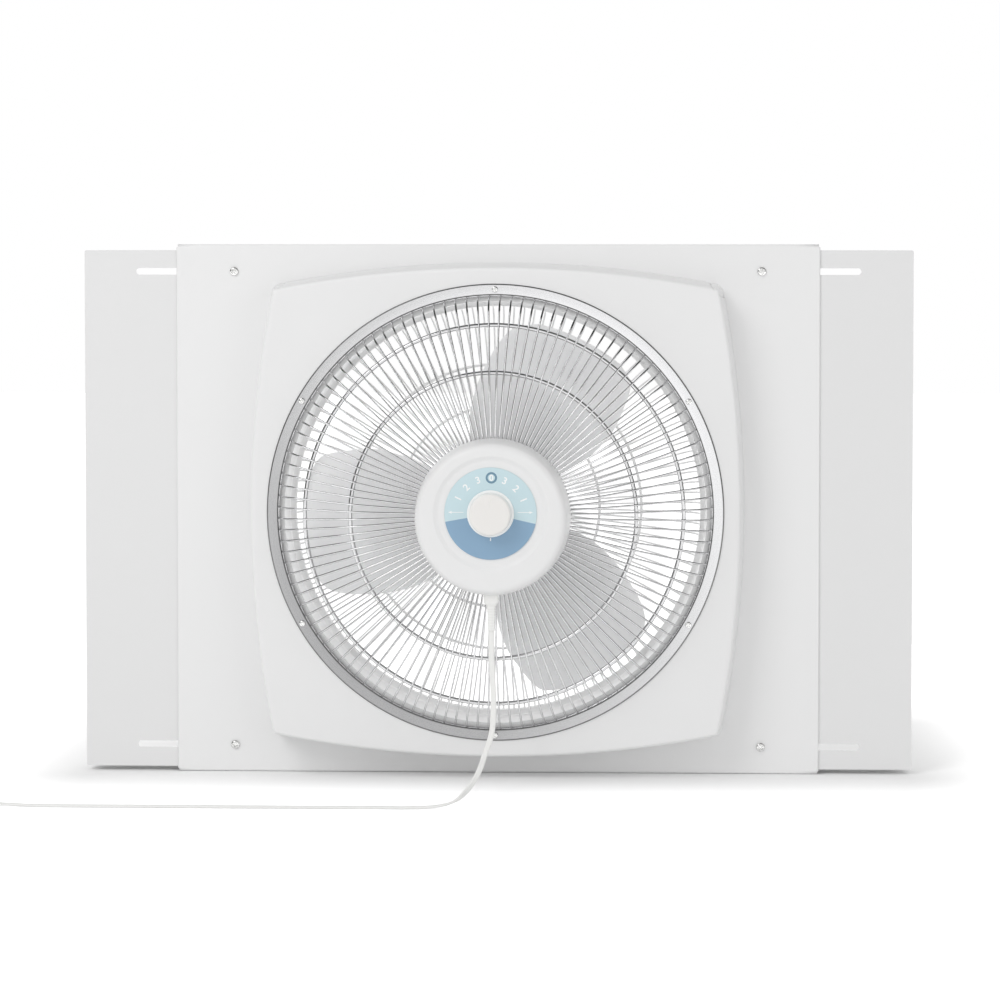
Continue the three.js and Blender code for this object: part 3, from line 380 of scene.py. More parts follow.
class Finish(Nodes):
    """A material and its shader, with the patterns that the finishes share."""

    def __init__(self, name, **settings):
        self.material = bpy.data.materials.new(name)
        self.material.use_nodes = True
        super().__init__(self.material.node_tree)
        self.shader = self.tree.nodes["Principled BSDF"]
        self.use(**settings)

    def place(self, centre=(0, 0, 0), scale=(1, 1, 1)):
        """Object coordinates counted from a centre and stretched along each axis."""
        moved = tuple(-c * s for c, s in zip(centre, scale))
        coordinates = self.add("TexCoord").outputs["Object"]
        return self.add("Mapping", {"Vector": coordinates, "Location": moved, "Scale": scale}).outputs[0]

    def turn(self):
        """Clockwise angle about the fan axis."""
        parts = self.add("SeparateXYZ", {"Vector": self.place(centre=(0, 0, AXIS_Z))})
        return self.math("ARCTAN2", parts.outputs["X"], parts.outputs["Z"])

    def noise(self, scale, vector=None, detail=3.0, roughness=0.5):
        """Noise from 0 to 1, its lumps about 1 / scale across."""
        inputs = {"Vector": vector or self.place(), "Scale": scale, "Detail": detail, "Roughness": roughness}
        return self.add("TexNoise", inputs).outputs["Fac"]

    def between(self, factor, low_value, high_value):
        """A number that goes from one value to the other as the factor goes from 0.25 to 0.75."""
        return self.add("MapRange", {
            "Value": factor, "From Min": 0.25, "From Max": 0.75, "To Min": low_value, "To Max": high_value,
        }).outputs["Result"]

    def mix(self, factor, first, second):
        """Colour between two others."""
        sockets = {0: factor, 6: self.opaque(first), 7: self.opaque(second)}
        return self.add("Mix", sockets, data_type="RGBA").outputs[2]

    @staticmethod
    def opaque(value):
        """A colour with full alpha, or a socket as it is."""
        return value if isinstance(value, bpy.types.NodeSocket) else (*value, 1.0)

    def shade(self, value, amount, factor):
        """A colour that wavers between a little darker and a little lighter."""
        darker = tuple(channel * (1 - amount) for channel in value)
        lighter = tuple(min(1.0, channel * (1 + amount)) for channel in value)
        return self.mix(self.between(factor, 0, 1), darker, lighter)

    def bump(self, height, distance, strength=1.0):
        """Joins a height to the shader's normal as a bump of that real height."""
        bump = self.add("Bump", {"Height": height, "Distance": distance, "Strength": strength})
        self.set(self.shader, {"Normal": bump.outputs["Normal"]})

    def use(self, **inputs):
        """Joins or sets inputs of the shader, and returns the material."""
        self.set(self.shader, {key.replace("_", " "): value for key, value in inputs.items()})
        return self.material


def powder_coat(name, value):
    """Sprayed coat on sheet: fine orange peel, satin, with faint broad clouds in tone and gloss."""
    finish = Finish(name, Specular_IOR_Level=0.4, Coat_Weight=0.12, Coat_Roughness=0.3)
    clouds = finish.noise(6, detail=2)
    grain = finish.noise(900, detail=2)
    peel = finish.noise(1600, detail=2)
    finish.bump(peel, 0.02 * MM, 0.5)
    return finish.use(
        Base_Color=finish.shade(value, 0.012, finish.math("MULTIPLY_ADD", grain, 0.5)),
        Roughness=finish.between(clouds, 0.42, 0.52),
    )


def moulded(name, value, roughness=0.42, depth_let_in=0.0):
    """Moulded plastic: spark texture and soft flow clouds. Thin pieces let light through to a given depth."""
    finish = Finish(name, Specular_IOR_Level=0.45, IOR=1.5)
    if depth_let_in:
        finish.use(Subsurface_Weight=1.0, Subsurface_Scale=1.0)
        finish.shader.inputs["Subsurface Radius"].default_value = (depth_let_in,) * 3
    flow = finish.noise(9, detail=2)
    spark = finish.noise(2400, detail=2)
    finish.bump(spark, 0.015 * MM, 0.45)
    return finish.use(
        Base_Color=finish.shade(value, 0.01, flow),
        Roughness=finish.between(spark, roughness - 0.05, roughness + 0.06),
    )


def plated_wire(name, value):
    """Plated wire: drawn metal with faint cloudiness and small changes of gloss."""
    finish = Finish(name, Metallic=1.0)
    clouds = finish.noise(120, detail=3)
    drawn = finish.noise(900, detail=2)
    finish.bump(drawn, 0.01 * MM, 0.3)
    return finish.use(
        Base_Color=finish.shade(value, 0.08, clouds), Roughness=finish.between(clouds, 0.08, 0.17))


def brushed_ring(name, value):
    """Brushed along the ring: noise read in polar coordinates about the fan axis, stretched along the turn. A
    painted highlight makes the ring lighter at the upper right, by the cosine of the angle from there, and a
    painted dark reflection makes a dark line along both edges, by the distance from the middle of the ring's
    width."""
    finish = Finish(name, Metallic=0.85)
    turn = finish.turn()
    radius = finish.add("VectorMath", {0: finish.place(centre=(0, 0, AXIS_Z), scale=(1, 0, 1))},
                        operation="LENGTH").outputs["Value"]
    polar = finish.add("CombineXYZ", {"X": finish.math("MULTIPLY", radius, 3200.0),
                                      "Y": finish.math("MULTIPLY", turn, 9.0)}).outputs[0]
    scratches = finish.noise(1, vector=polar, detail=4, roughness=0.7)
    # Painted highlight: the ring's colour is lighter towards the upper right, where the key light falls, by the
    # cosine of the angle.
    painted_highlight = finish.math("COSINE", finish.math("SUBTRACT", turn, math.radians(40)))
    painted_highlight = finish.add("MapRange", {"Value": painted_highlight, "From Min": -1.0}).outputs["Result"]
    # A darker and a lighter copy of the ring's colour, for the painted shade and the painted highlight.
    painted_shade_tone, bright = (tuple(channel * share for channel in value) for share in (0.64, 1.55))
    grain = finish.math("MULTIPLY_ADD", scratches, 0.3)
    grain.node.inputs[2].default_value = -0.15
    # Painted dark reflection: the last 1 to 1.6 mm at both edges of the ring are coloured dark.
    half = (RIM_OUTER - RIM_INNER) / 2
    aside = finish.math("ABSOLUTE", finish.math("SUBTRACT", radius, RIM_INNER + half))
    edge = finish.add("MapRange", {"Value": aside, "From Min": half - 1.6 * MM, "From Max": half - 1.0 * MM})
    finish.bump(scratches, 0.012 * MM, 0.6)
    # Painted highlight and painted shade, mixed with the real brushed grain.
    middle = finish.mix(finish.math("ADD", painted_highlight, grain), painted_shade_tone, bright)
    # Base colour: the painted dark edge line over the painted highlight and grain.
    return finish.use(
        Base_Color=finish.mix(edge.outputs["Result"], middle, tuple(0.3 * channel for channel in value)),
        Roughness=finish.between(scratches, 0.18, 0.34))


def metal(name, value, low_roughness, high_roughness, variation=0.06, scale=300):
    """Plain metal with mottled gloss and a fine ground surface."""
    finish = Finish(name, Metallic=1.0)
    mottle = finish.noise(scale, detail=4)
    finish.bump(mottle, 0.01 * MM, 0.4)
    return finish.use(
        Base_Color=finish.shade(value, variation, mottle),
        Roughness=finish.between(mottle, low_roughness, high_roughness))


def blade_plastic(name, value):
    """Blade moulding that lets light through, smooth, with flow lines that run out from the hub."""
    finish = Finish(name, IOR=1.49, Specular_IOR_Level=0.4, Subsurface_Weight=0.6, Subsurface_Scale=1.0)
    finish.shader.inputs["Subsurface Radius"].default_value = (0.004, 0.004, 0.004)
    flow = finish.noise(14, vector=finish.add("CombineXYZ", {"X": finish.turn()}).outputs[0], detail=3)
    satin = finish.noise(1500, detail=2)
    finish.bump(satin, 0.01 * MM, 0.4)
    return finish.use(
        Base_Color=finish.shade(value, 0.012, flow), Roughness=finish.between(satin, 0.36, 0.46))


def dial_print(name, light, dark):
    """Printed dial: dark below two lines that fall away from the middle at the dip angle, light above."""
    dip, roll = math.radians(11.5), math.radians(1.2)
    finish = Finish(name, Specular_IOR_Level=0.45)
    centred = finish.place(centre=(0, 0, AXIS_Z + DIAL_LIFT))
    turned = finish.add("VectorRotate", {"Vector": centred, "Axis": (0, 1, 0), "Angle": -roll},
                        rotation_type="AXIS_ANGLE").outputs[0]
    parts = finish.add("SeparateXYZ", {"Vector": turned})
    aside = finish.math("ABSOLUTE", parts.outputs["X"])
    line = finish.math("MULTIPLY", aside, -math.tan(dip))
    below = finish.math("LESS_THAN", parts.outputs["Z"], line)
    screen = finish.noise(2600, detail=1)
    finish.bump(screen, 0.006 * MM, 0.4)
    return finish.use(
        Base_Color=finish.mix(below, finish.shade(light, 0.012, screen), finish.shade(dark, 0.015, screen)),
        Roughness=finish.between(screen, 0.38, 0.48))


def vinyl(name, value):
    """Soft cord vinyl: matt, faintly mottled, with a fine extruded skin."""
    finish = Finish(name, IOR=1.5, Specular_IOR_Level=0.4, Subsurface_Weight=0.08, Subsurface_Scale=1.0)
    finish.shader.inputs["Subsurface Radius"].default_value = (0.002, 0.002, 0.002)
    mottle = finish.noise(160, detail=3)
    skin = finish.noise(1900, detail=2)
    finish.bump(skin, 0.01 * MM, 0.5)
    return finish.use(
        Base_Color=finish.shade(value, 0.015, mottle), Roughness=finish.between(mottle, 0.42, 0.54))


FINISHES = {}                                           # materials by slot, filled by make_finishes


def make_finishes(colours):
    """Makes the material of every slot of the record, and five that only fine pieces use."""
    tone = {name: tuple(getattr(colours, name)) for name in FanColours.__annotations__}
    FINISHES.update({
        "painted_sheet": powder_coat("centre_panel_coat", tone["sheet"]),
        "side_sheet": powder_coat("side_panel_coat", tone["side_sheet"]),
        "white_moulding": moulded("white_moulding", tone["moulding"]),
        "bright_wire": plated_wire("plated_wire", tone["wire"]),
        "white_wire": powder_coat("coated_wire", tone["coated"]),
        "brushed_rim": brushed_ring("brushed_ring", tone["ring"]),
        "zinc_screw": metal("zinc_plate", tone["screw"], 0.1, 0.2),
        "blade_plastic": blade_plastic("blade_plastic", tone["blade"]),
        "dial_face": dial_print("dial_print", tone["dial_light"], tone["dial_dark"]),
        "motor_steel": metal("motor_steel", tone["steel"], 0.3, 0.45),
        "dark_steel": metal("varnished_laminations", tone["laminations"], 0.35, 0.55, 0.15, 900),
        "bronze": metal("bearing_bronze", tone["bronze"], 0.35, 0.5),
        "black_plastic": moulded("black_plastic", tone["black"], 0.5),
        "white_vinyl": vinyl("white_vinyl", tone["vinyl"]),
        "brass": metal("plain_brass", tone["brass"], 0.22, 0.38),
        "knob": moulded("knob_moulding", tone["knob"], 0.38),
        "duct": moulded("thin_duct_moulding", tone["duct"], 0.45, 12 * MM),
        "skirt": moulded("knob_skirt_moulding", tone["ink"], 0.38),
        "ink": moulded("white_ink", tone["ink"], 0.45),
        "mark": moulded("blue_grey_ink", tone["dial_mark"], 0.45),
    })


class WINDOWFAN_OT_finishes(bpy.types.Operator):
    """Make the finishes and give every piece of the construction model the one of its slot"""

    bl_idname = "window_fan.finishes"
    bl_label = "Finishes"

    def execute(self, context):
        make_finishes(context.scene.fan_colours)
        for part in frame["record"]["subparts"]:
            node = frame["nodes"][part["node"]]
            node.data.materials.clear()
            node.data.materials.append(FINISHES[part["material_slot"]])
        return {"FINISHED"}


# ---------------------------------------------------------------- cord

# The route's points: down from the strain relief in front of the grille, forwards on to the
# surface that the fan stands on, and left along it to the coil.
CORD_DEPTH = -195.9
CORD_ROUTE = np.array([
    (0, -122, 168.1), (0.3, -122.2, 150), (1.6, -123.2, 120), (2.6, -125, 92), (0.8, -128, 64),
    (-5.5, -136, 44.5), (-10.9, -147, 29.1), (-21.6, -167, 13.8), (-34.2, -184, 5.4), (-50, -192.5, 2.6),
    (-76, -195.3, 1.6), (-110, -195.8, 1.5), (-160, CORD_DEPTH, 1.5), (-220, CORD_DEPTH, 1.5),
    (-290, CORD_DEPTH, 1.5), (-360, CORD_DEPTH, 1.5), (-420, CORD_DEPTH, 1.5), (-455, CORD_DEPTH, 1.8),
    (-480, CORD_DEPTH, 2.8), (-505, CORD_DEPTH, 3.5), (-531.2, CORD_DEPTH, 3.8), (-538.9, CORD_DEPTH, 3.8),
])
COIL_X, COIL_DEPTH, COIL_LOW = -545, -156.6, 3.8
TURN_TO_FLAT = (0.1, 0.38)                              # shares of the route where the cord turns over
TURN_ON_EDGE = (0.91, 0.98)


def eased_step(value, start, end):
    """0 before start, 1 after end, and the cubic 3t^2 - 2t^3 between them."""
    t = np.clip((value - start) / (end - start), 0, 1)
    return t * t * (3 - 2 * t)


def route_points(spacing):
    """The free stretch of the cord in metres."""
    points = CORD_ROUTE * MM
    points[:, 1] += PANEL_FRONT
    return smooth_path(points, spacing)


def coil_points(cord, spacing):
    """The coil in metres: the radius shrinks by a pitch a turn to the middle of the winding and grows again,
    while the height rises by a layer in the half turn about the middle. A straight run leads out."""
    wound = np.linspace(0, cord.turns, round(cord.turns * 90) + 1)
    angle = -HALF_TURN / 2 - FULL_TURN * wound
    radius = cord.coil_radius - cord.pitch * np.minimum(wound, cord.turns - wound)
    rise = np.clip(2 * (wound - cord.turns / 2) + 0.5, 0, 1)
    turns = np.stack([
        COIL_X * MM + radius * np.cos(angle), depth(COIL_DEPTH) + radius * np.sin(angle),
        COIL_LOW * MM + cord.layer * rise], axis=1)
    heading = np.array([math.sin(angle[-1]), -math.cos(angle[-1]), 0])
    lead_out = turns[-1] + heading * np.linspace(0, cord.lead_out, 8)[1:, None]
    return evenly(np.vstack([turns, lead_out]), spacing)


def cord_section(cord, sides=22):
    """Flat oval with three faint ridges: across s from -1 to 1 the half thickness is the square root of
    1 - s^4, times one plus a small cosine that has three crests."""
    around = angles(sides)
    across = np.cos(around)
    ridge = 0.95 + 0.05 * np.cos(3 * HALF_TURN * across)
    half = 0.5 * cord.thickness * np.sqrt(1 - across ** 4) * ridge
    return np.stack([0.5 * cord.width * across, half * np.sign(np.sin(around))], axis=1)


class WINDOWFAN_OT_cord(bpy.types.Operator):
    """Flat cord from the hub to its coil and plug, as one tube"""

    bl_idname = "window_fan.cord"
    bl_label = "Cord"

    def execute(self, context):
        cord = context.scene.cord_sizes
        free = route_points(3 * MM)
        path = np.vstack([free, coil_points(cord, 2.5 * MM)])
        share = np.linspace(0, 1, len(free))[:, None]
        face_on, flat, on_edge = np.eye(3)
        broad = face_on + (flat - face_on) * eased_step(share, *TURN_TO_FLAT)
        broad = broad + (on_edge - broad) * eased_step(share, *TURN_ON_EDGE)
        broad = np.vstack([broad, np.broadcast_to(on_edge, (len(path) - len(free), 3))])
        tube = sweep(path, broad, cord_section(cord))
        thing = piece("flat_cord", [(tube, False, True)], slot="white_vinyl",
                      stands_for=("power_cord", "cord_coil"), sharp=60)
        plug = make_plug()
        make_strain_relief(cord)
        return {"FINISHED"}


def make_plug():
    """Moulded plug: rounded rectangles along Y whose half sizes swell from the neck to a waisted grip."""
    corner, far = low("plug_body"), high("plug_body")
    centre = (corner + far) / 2
    half_width, half_height = (far - corner)[[0, 2]] / 2
    length = far[1] - corner[1]
    #          share of the length, share of the half width, share of the half height, share that is rounded
    stations = np.array([
        (0.0, 0.2, 0.3, 0.9), (0.02, 0.27, 0.4, 0.9), (0.2, 0.31, 0.46, 0.8), (0.3, 0.45, 0.6, 0.7),
        (0.42, 0.84, 0.9, 0.55), (0.52, 0.96, 0.97, 0.45), (0.62, 0.9, 0.88, 0.45), (0.74, 0.9, 0.88, 0.45),
        (0.84, 0.99, 0.98, 0.4), (0.96, 1.0, 1.0, 0.4), (1.0, 0.94, 0.93, 0.4)])
    stations = smooth_path(stations, 0.02)
    rings = []
    for along, wide, tall, rounding in stations:
        width, height = min(wide, 1) * half_width, min(tall, 1) * half_height
        outline = rounded_rectangle(width, height, rounding * min(width, height))
        y = np.full(len(outline), corner[1] + np.clip(along, 0, 1) * length)
        rings.append(np.stack([centre[0] + outline[:, 0], y, centre[2] + outline[:, 1]], axis=1))
    return piece("plug", [(capped(np.array(rings)), False, True)], slot="white_vinyl",
                 stands_for=("plug_body",), sharp=50)


def capped(rings):
    """A stack of closed rings with the middle of the first and last added as rings of one point."""
    first, last = (np.broadcast_to(ring.mean(axis=0), ring.shape)[None] for ring in (rings[0], rings[-1]))
    return np.concatenate([first, rings, last])


def make_strain_relief(cord):
    """Tapered sleeve: rounded rectangles down Z from a collar in the hub to the width of the cord, with a
    shallow waist below the collar and ribs across the taper."""
    top, bottom = high("strain_relief")[2], low("strain_relief")[2]
    exit_depth = depth(-122)
    drop = np.linspace(0, 1, 90)
    collar = eased_step(drop, 0.47, 0.36)
    taper = eased_step(drop, 0.42, 0.72)
    #         half size of the neck, what the collar adds, half size at the end
    across, deep = (4.5 * MM, 3.0 * MM, 0.62 * cord.width), (3.4 * MM, 1.4 * MM, 0.75 * cord.thickness)
    half_width, half_depth = (neck + collar * more - taper * (neck - end) for neck, more, end in (across, deep))
    ribs = 1 + 0.035 * np.cos(drop * FULL_TURN * 16) * eased_step(drop, 0.45, 0.5)
    rings = []
    for share, width, height in zip(drop, half_width * ribs, half_depth * ribs):
        outline = rounded_rectangle(width, height, 0.6 * height)
        z = np.full(len(outline), top + share * (bottom - top))
        rings.append(np.stack([outline[:, 0], exit_depth + outline[:, 1], z], axis=1))
    return piece("cord_strain_relief", [(capped(np.array(rings)), False, True)], slot="white_vinyl",
                 stands_for=("strain_relief",), sharp=50)


# ---------------------------------------------------------------- wire guards

FRONT_WIRE = [(226.6, -43.6), (226.6, -50.5), (223.5, -59), (215, -67.6), (198, -72.9), (173, -80.4),
              (148, -87.9), (112, -88.6), (72.9, -86.5)]
REAR_WIRE = [(218.2, 20.4), (215.6, 26), (210, 32), (198, 36.5), (174, 39.5), (110, 39.5), (44.9, 39.5)]
FRONT_RINGS = [(197, -70), (148, -85)]
REAR_RINGS = [(219.2, 17, 2.0), (154, 36.6, 1.5), (109, 36.6, 1.5)]
RIM_WIRE = (228, -44.4, 1.6)
HUB_WIRE = (74, -86.5, 1.1)
REAR_HUB_WIRE = (46, 39.5, 2.2)
REAR_WELD_WIRE = (218.2, 20.4, 1.1)


def wire_ring(radius, y, wire, steps=240, sides=12):
    """Torus: a circle of the wire's radius carried round the fan axis, sizes in millimetres."""
    around = angles(sides)
    profile = np.stack([(radius + wire * np.cos(around)) * MM, depth(y + wire * np.sin(around))], axis=1)
    return revolve(profile, steps), True, True


def radial_wires(path, wire, count, sides=8):
    """One wire for each angle: a circle of the wire's radius carried along a curve in the plane of radius and
    depth, and closed to a point at both ends."""
    curve = smooth_path(np.array(path) * MM, 9 * MM)
    curve[:, 1] += PANEL_FRONT
    tangent = np.gradient(curve, axis=0)
    tangent /= np.linalg.norm(tangent, axis=1, keepdims=True)
    curve = curve[np.r_[0, 0:len(curve), -1]]
    tangent = tangent[np.r_[0, 0:len(tangent), -1]]
    size = np.full(len(curve), wire)
    size[[0, -1]] = 0
    normal = np.stack([-tangent[:, 1], tangent[:, 0]], axis=1)
    around = angles(sides)
    out = (size[:, None] * np.sin(around))[..., None] * normal[:, None]
    radius = curve[:, :1] + out[..., 0]
    y = curve[:, 1:] + out[..., 1]
    aside = size[:, None] * np.cos(around)
    angle = (angles(count) + HALF_TURN / count)[:, None, None]
    x = radius * np.sin(angle) + aside * np.cos(angle)
    z = AXIS_Z + radius * np.cos(angle) - aside * np.sin(angle)
    return np.stack([x, np.broadcast_to(y, x.shape), z], axis=-1), False, True


class WINDOWFAN_OT_front_guard(bpy.types.Operator):
    """Bright radial wires, the two ring wires behind them and the rim wire"""

    bl_idname = "window_fan.front_guard"
    bl_label = "Front guard"

    def execute(self, context):
        sizes = context.scene.fan_sizes
        wires = [radial_wires(FRONT_WIRE, sizes.front_wire, sizes.wire_count), wire_ring(*RIM_WIRE),
                 wire_ring(*HUB_WIRE)]
        piece("front_radial_wires", wires, slot="bright_wire",
              stands_for=("front_guard",), sharp=70)
        rings = [wire_ring(radius, y, sizes.ring_wire / MM) for radius, y in FRONT_RINGS]
        piece("front_ring_wires", rings, slot="bright_wire",
              stands_for=("front_guard_outer_ring", "front_guard_inner_ring"), sharp=70)
        return {"FINISHED"}


class WINDOWFAN_OT_rear_guard(bpy.types.Operator):
    """White radial wires and ring wires behind the blade"""

    bl_idname = "window_fan.rear_guard"
    bl_label = "Rear guard"

    def execute(self, context):
        sizes = context.scene.fan_sizes
        wires = [radial_wires(REAR_WIRE, sizes.rear_wire, sizes.wire_count), wire_ring(*REAR_HUB_WIRE),
                 wire_ring(*REAR_WELD_WIRE)]
        piece("rear_radial_wires", wires, slot="white_wire",
              stands_for=("rear_guard",), sharp=70)
        piece("rear_ring_wires", [wire_ring(*ring) for ring in REAR_RINGS], slot="white_wire", sharp=70,
              stands_for=("rear_guard_outer_ring", "rear_guard_middle_ring", "rear_guard_inner_ring"))
        return {"FINISHED"}


# ---------------------------------------------------------------- housing, duct and rim

BULGE_SIDE_RADIUS = 1206 * MM
BULGE_CORNER_RADIUS = 11 * MM
BULGE_MOST_INSET = 10.5 * MM                            # keeps the corner's radius above zero
BULGE_EDGE = 5 * MM                                     # how far the eased edge reaches back from the face
BULGE_EDGE_SHARE = 0.8                                  # its width as a share of that
BULGE_DRAFT = 6 * MM
BULGE_WALL = 2.5 * MM
MOUTH_RADIUS = 230.5 * MM
DUCT_RADIUS, DUCT_WALL, DUCT_LIP = 222 * MM, 2 * MM, 5 * MM


def pillow_radius(inset, angle):
    """Distance from the axis to the pillow outline: the nearer of a wide arc, whose centre lies beyond the
    axis, and the small circle in the corner, for the outline moved in by inset."""
    quarter = (angle + HALF_TURN / 4) % (HALF_TURN / 2) - HALF_TURN / 4
    centre = BULGE_HALF - BULGE_SIDE_RADIUS
    wide = BULGE_SIDE_RADIUS - inset
    sides = centre * np.cos(quarter) + np.sqrt(wide ** 2 - (centre * np.sin(quarter)) ** 2)
    reach = BULGE_SIDE_RADIUS - BULGE_CORNER_RADIUS
    corner = (centre + math.sqrt(2 * reach ** 2 - centre ** 2)) / 2
    small = BULGE_CORNER_RADIUS - inset
    about = np.abs(quarter)
    gap = small ** 2 - (corner * (np.cos(about) - np.sin(about))) ** 2
    corners = corner * (np.cos(about) + np.sin(about)) + np.sqrt(np.maximum(gap, 0))
    return np.where(gap > 0, np.minimum(sides, corners), sides)


def pillow_angles():
    """Even angles, with many more near the four corners, where the outline turns sharply."""
    even = angles(240)
    offsets = np.linspace(-1, 1, 41) * math.radians(2.6)
    corners = (np.arange(4)[:, None] * HALF_TURN / 2 + HALF_TURN / 4 + offsets).ravel()
    apart = np.abs(even[:, None] - corners[None, ::20]).min(axis=1) > math.radians(3)
    return np.sort(np.concatenate([even[apart], corners]))


class WINDOWFAN_OT_housing(bpy.types.Operator):
    """Pillow housing, the air duct behind it and the bright rim ring in front"""

    bl_idname = "window_fan.housing"
    bl_label = "Housing and rim"

    def execute(self, context):
        around = pillow_angles()
        face, back = BULGE_FACE, BULGE_BACK
        lean = BULGE_DRAFT / (back - face)
        # The outer skin as rows of inset and depth: the leaning wall from its foot, then the eased edge.
        rise = np.linspace(0, 1, 7)[:, None] * (back - face - BULGE_EDGE)
        side = np.hstack([lean * rise, back - rise])
        turn = np.linspace(0, HALF_TURN / 2, 8)[1:, None]
        edge = np.hstack([side[-1, 0] + BULGE_EDGE * (1 - np.cos(turn)) * BULGE_EDGE_SHARE,
                          face + BULGE_EDGE * (1 - np.sin(turn))])
        skin = np.vstack([side, edge])
        outer = [radial(pillow_radius(min(inset, BULGE_MOST_INSET), around), around, y) for inset, y in skin]
        share = np.linspace(0, 1, 12)[1:, None]
        rim_edge = pillow_radius(skin[-1, 0], around)
        front = radial(rim_edge + (MOUTH_RADIUS - rim_edge) * share, around[None, :], face)
        step = depth(-40.9)
        foot, collar = back - 2.3 * MM, DUCT_RADIUS + 3 * MM
        well = np.array([
            (MOUTH_RADIUS, step), (DUCT_RADIUS, step), (DUCT_RADIUS, foot), (collar, foot),
            (collar, step + BULGE_WALL), (MOUTH_RADIUS + BULGE_WALL, step + BULGE_WALL),
            (MOUTH_RADIUS + BULGE_WALL, face + BULGE_WALL)])
        well = radial(well[:, :1], around[None, :], well[:, 1:])
        inner_insets = BULGE_WALL + np.array([BULGE_DRAFT, BULGE_DRAFT * 0.85, 0])
        inner_depths = np.array([face + BULGE_WALL, face + BULGE_EDGE, back])
        inner = [radial(pillow_radius(min(inset, BULGE_MOST_INSET), around), around, y)
                 for inset, y in zip(inner_insets, inner_depths)]
        shell = np.concatenate([np.array(outer), front, well, np.array(inner)])
        piece("housing_shell", [(shell, True, True)], slot="white_moulding",
              stands_for=("front_housing",), sharp=38)
        self.add_duct()
        self.add_rim()
        return {"FINISHED"}

    def add_duct(self):
        """Round duct: a closed profile of wall, flange and lip carried round the fan axis."""
        duct_rear = high("air_duct")[1]
        flange, foot = high("air_duct")[0], depth(-0.3)
        lip = depth(12.7)
        corners = [
            (DUCT_RADIUS, foot - DUCT_WALL), (flange, foot - DUCT_WALL), (flange, foot),
            (DUCT_RADIUS + DUCT_WALL, foot), (DUCT_RADIUS + DUCT_WALL, duct_rear), (DUCT_RADIUS, duct_rear),
            (DUCT_RADIUS, lip + DUCT_WALL), (DUCT_RADIUS - DUCT_LIP, lip + DUCT_WALL),
            (DUCT_RADIUS - DUCT_LIP, lip), (DUCT_RADIUS, lip - DUCT_LIP),
        ]
        profile = eased(corners, [0.4 * MM] * len(corners), closed=True)
        piece("duct_wall", [(revolve(profile), True, True)], FINISHES["duct"], slot="painted_sheet",
              stands_for=("air_duct",), sharp=38)

    def add_rim(self):
        """Flat ring: a thin closed profile whose front falls away at both edges, more at the outer one, carried
        round the fan axis."""
        inner, drop = RIM_INNER, 0.6 * (RIM_BACK - RIM_FRONT)
        corners = [(inner, RIM_BACK), (inner, RIM_FRONT + drop), (inner + 0.6 * MM, RIM_FRONT),
                   (RIM_OUTER - 0.8 * MM, RIM_FRONT), (RIM_OUTER, RIM_FRONT + drop), (RIM_OUTER, RIM_BACK)]
        profile = eased(corners, [0.2 * MM, 0.3 * MM, 0.3 * MM, 0.4 * MM, 0.3 * MM, 0.2 * MM], closed=True)
        piece("rim_band", [(revolve(profile, 256), True, True)], slot="brushed_rim",
              stands_for=("rim_ring",), sharp=38)


# ---------------------------------------------------------------- hub, dial and knob

class WINDOWFAN_OT_hub(bpy.types.Operator):
    """Hub cover with its dished face"""

    bl_idname = "window_fan.hub"
    bl_label = "Hub"

    def execute(self, context):
        edge, face, lift = HUB_RADIUS, HUB_FACE, DIAL_LIFT
        well, lining = face + 2 * MM, face + 4.5 * MM
        #  radius, depth, how far the row's centre is raised
        corners = [
            (edge, HUB_BACK, 0), (edge - 2.5 * MM, face + 12 * MM, 0), (edge - 4.1 * MM, face + 3 * MM, 0),
            (edge - 8.6 * MM, face, 0), (58.2 * MM, face, lift), (54 * MM, well, lift), (4 * MM, well, lift),
            (4 * MM, lining, lift), (edge - 8 * MM, lining, 0), (edge - HUB_WALL, HUB_BACK, 0),
        ]
        easings = [0.5 * MM, 6 * MM, 3.5 * MM, 3 * MM, 1 * MM, 1.6 * MM, 0, 0, 2 * MM, 0.5 * MM]
        profile = eased(corners, easings, closed=True, steps=7)
        piece("hub_shell", [(revolve(profile), True, True)], slot="white_moulding",
              stands_for=("hub_cover",), sharp=38)
        return {"FINISHED"}


def disc(radius, back, front, lift, steps=160, easing=0.25 * MM):
    """Thin disc with an eased front edge, closed on the axis."""
    corners = [(0, back), (radius, back), (radius, front), (0, front)]
    profile = eased(corners, [0, 0, easing, 0])
    return revolve(np.insert(profile, 2, lift, axis=1), steps), False, True


def make_text(name, body_text, height, turn, radius, y, finish):
    """Flat numeral whose middle stands at a radius and a clockwise angle about the dial's axis, upright along
    the radius."""
    curve = bpy.data.curves.new(name, "FONT")
    curve.body = body_text
    curve.size = height / 0.7
    curve.align_x, curve.align_y = "CENTER", "CENTER"
    curve.offset = 0.2 * MM
    curve.extrude = 0.06 * MM
    curve.resolution_u = 6
    source = bpy.data.objects.new(name + "_outline", curve)
    mesh = bpy.data.meshes.new_from_object(source)
    bpy.data.objects.remove(source)
    flat = np.empty(len(mesh.vertices) * 3)
    mesh.vertices.foreach_get("co", flat)
    flat = flat.reshape(-1, 3)
    flat[:, :2] -= (flat[:, :2].max(axis=0) + flat[:, :2].min(axis=0)) / 2
    across, up = flat[:, 0], flat[:, 1] + radius
    centre = AXIS_Z + DIAL_LIFT
    placed_points = np.stack([
        across * math.cos(turn) + up * math.sin(turn), y - flat[:, 2],
        centre - across * math.sin(turn) + up * math.cos(turn)], axis=1)
    mesh.vertices.foreach_set("co", placed_points.ravel())
    mesh.name = name
    mesh.update()
    clean(mesh)
    return placed(bpy.data.objects.new(name, mesh), finish, "housing", "dial_face")


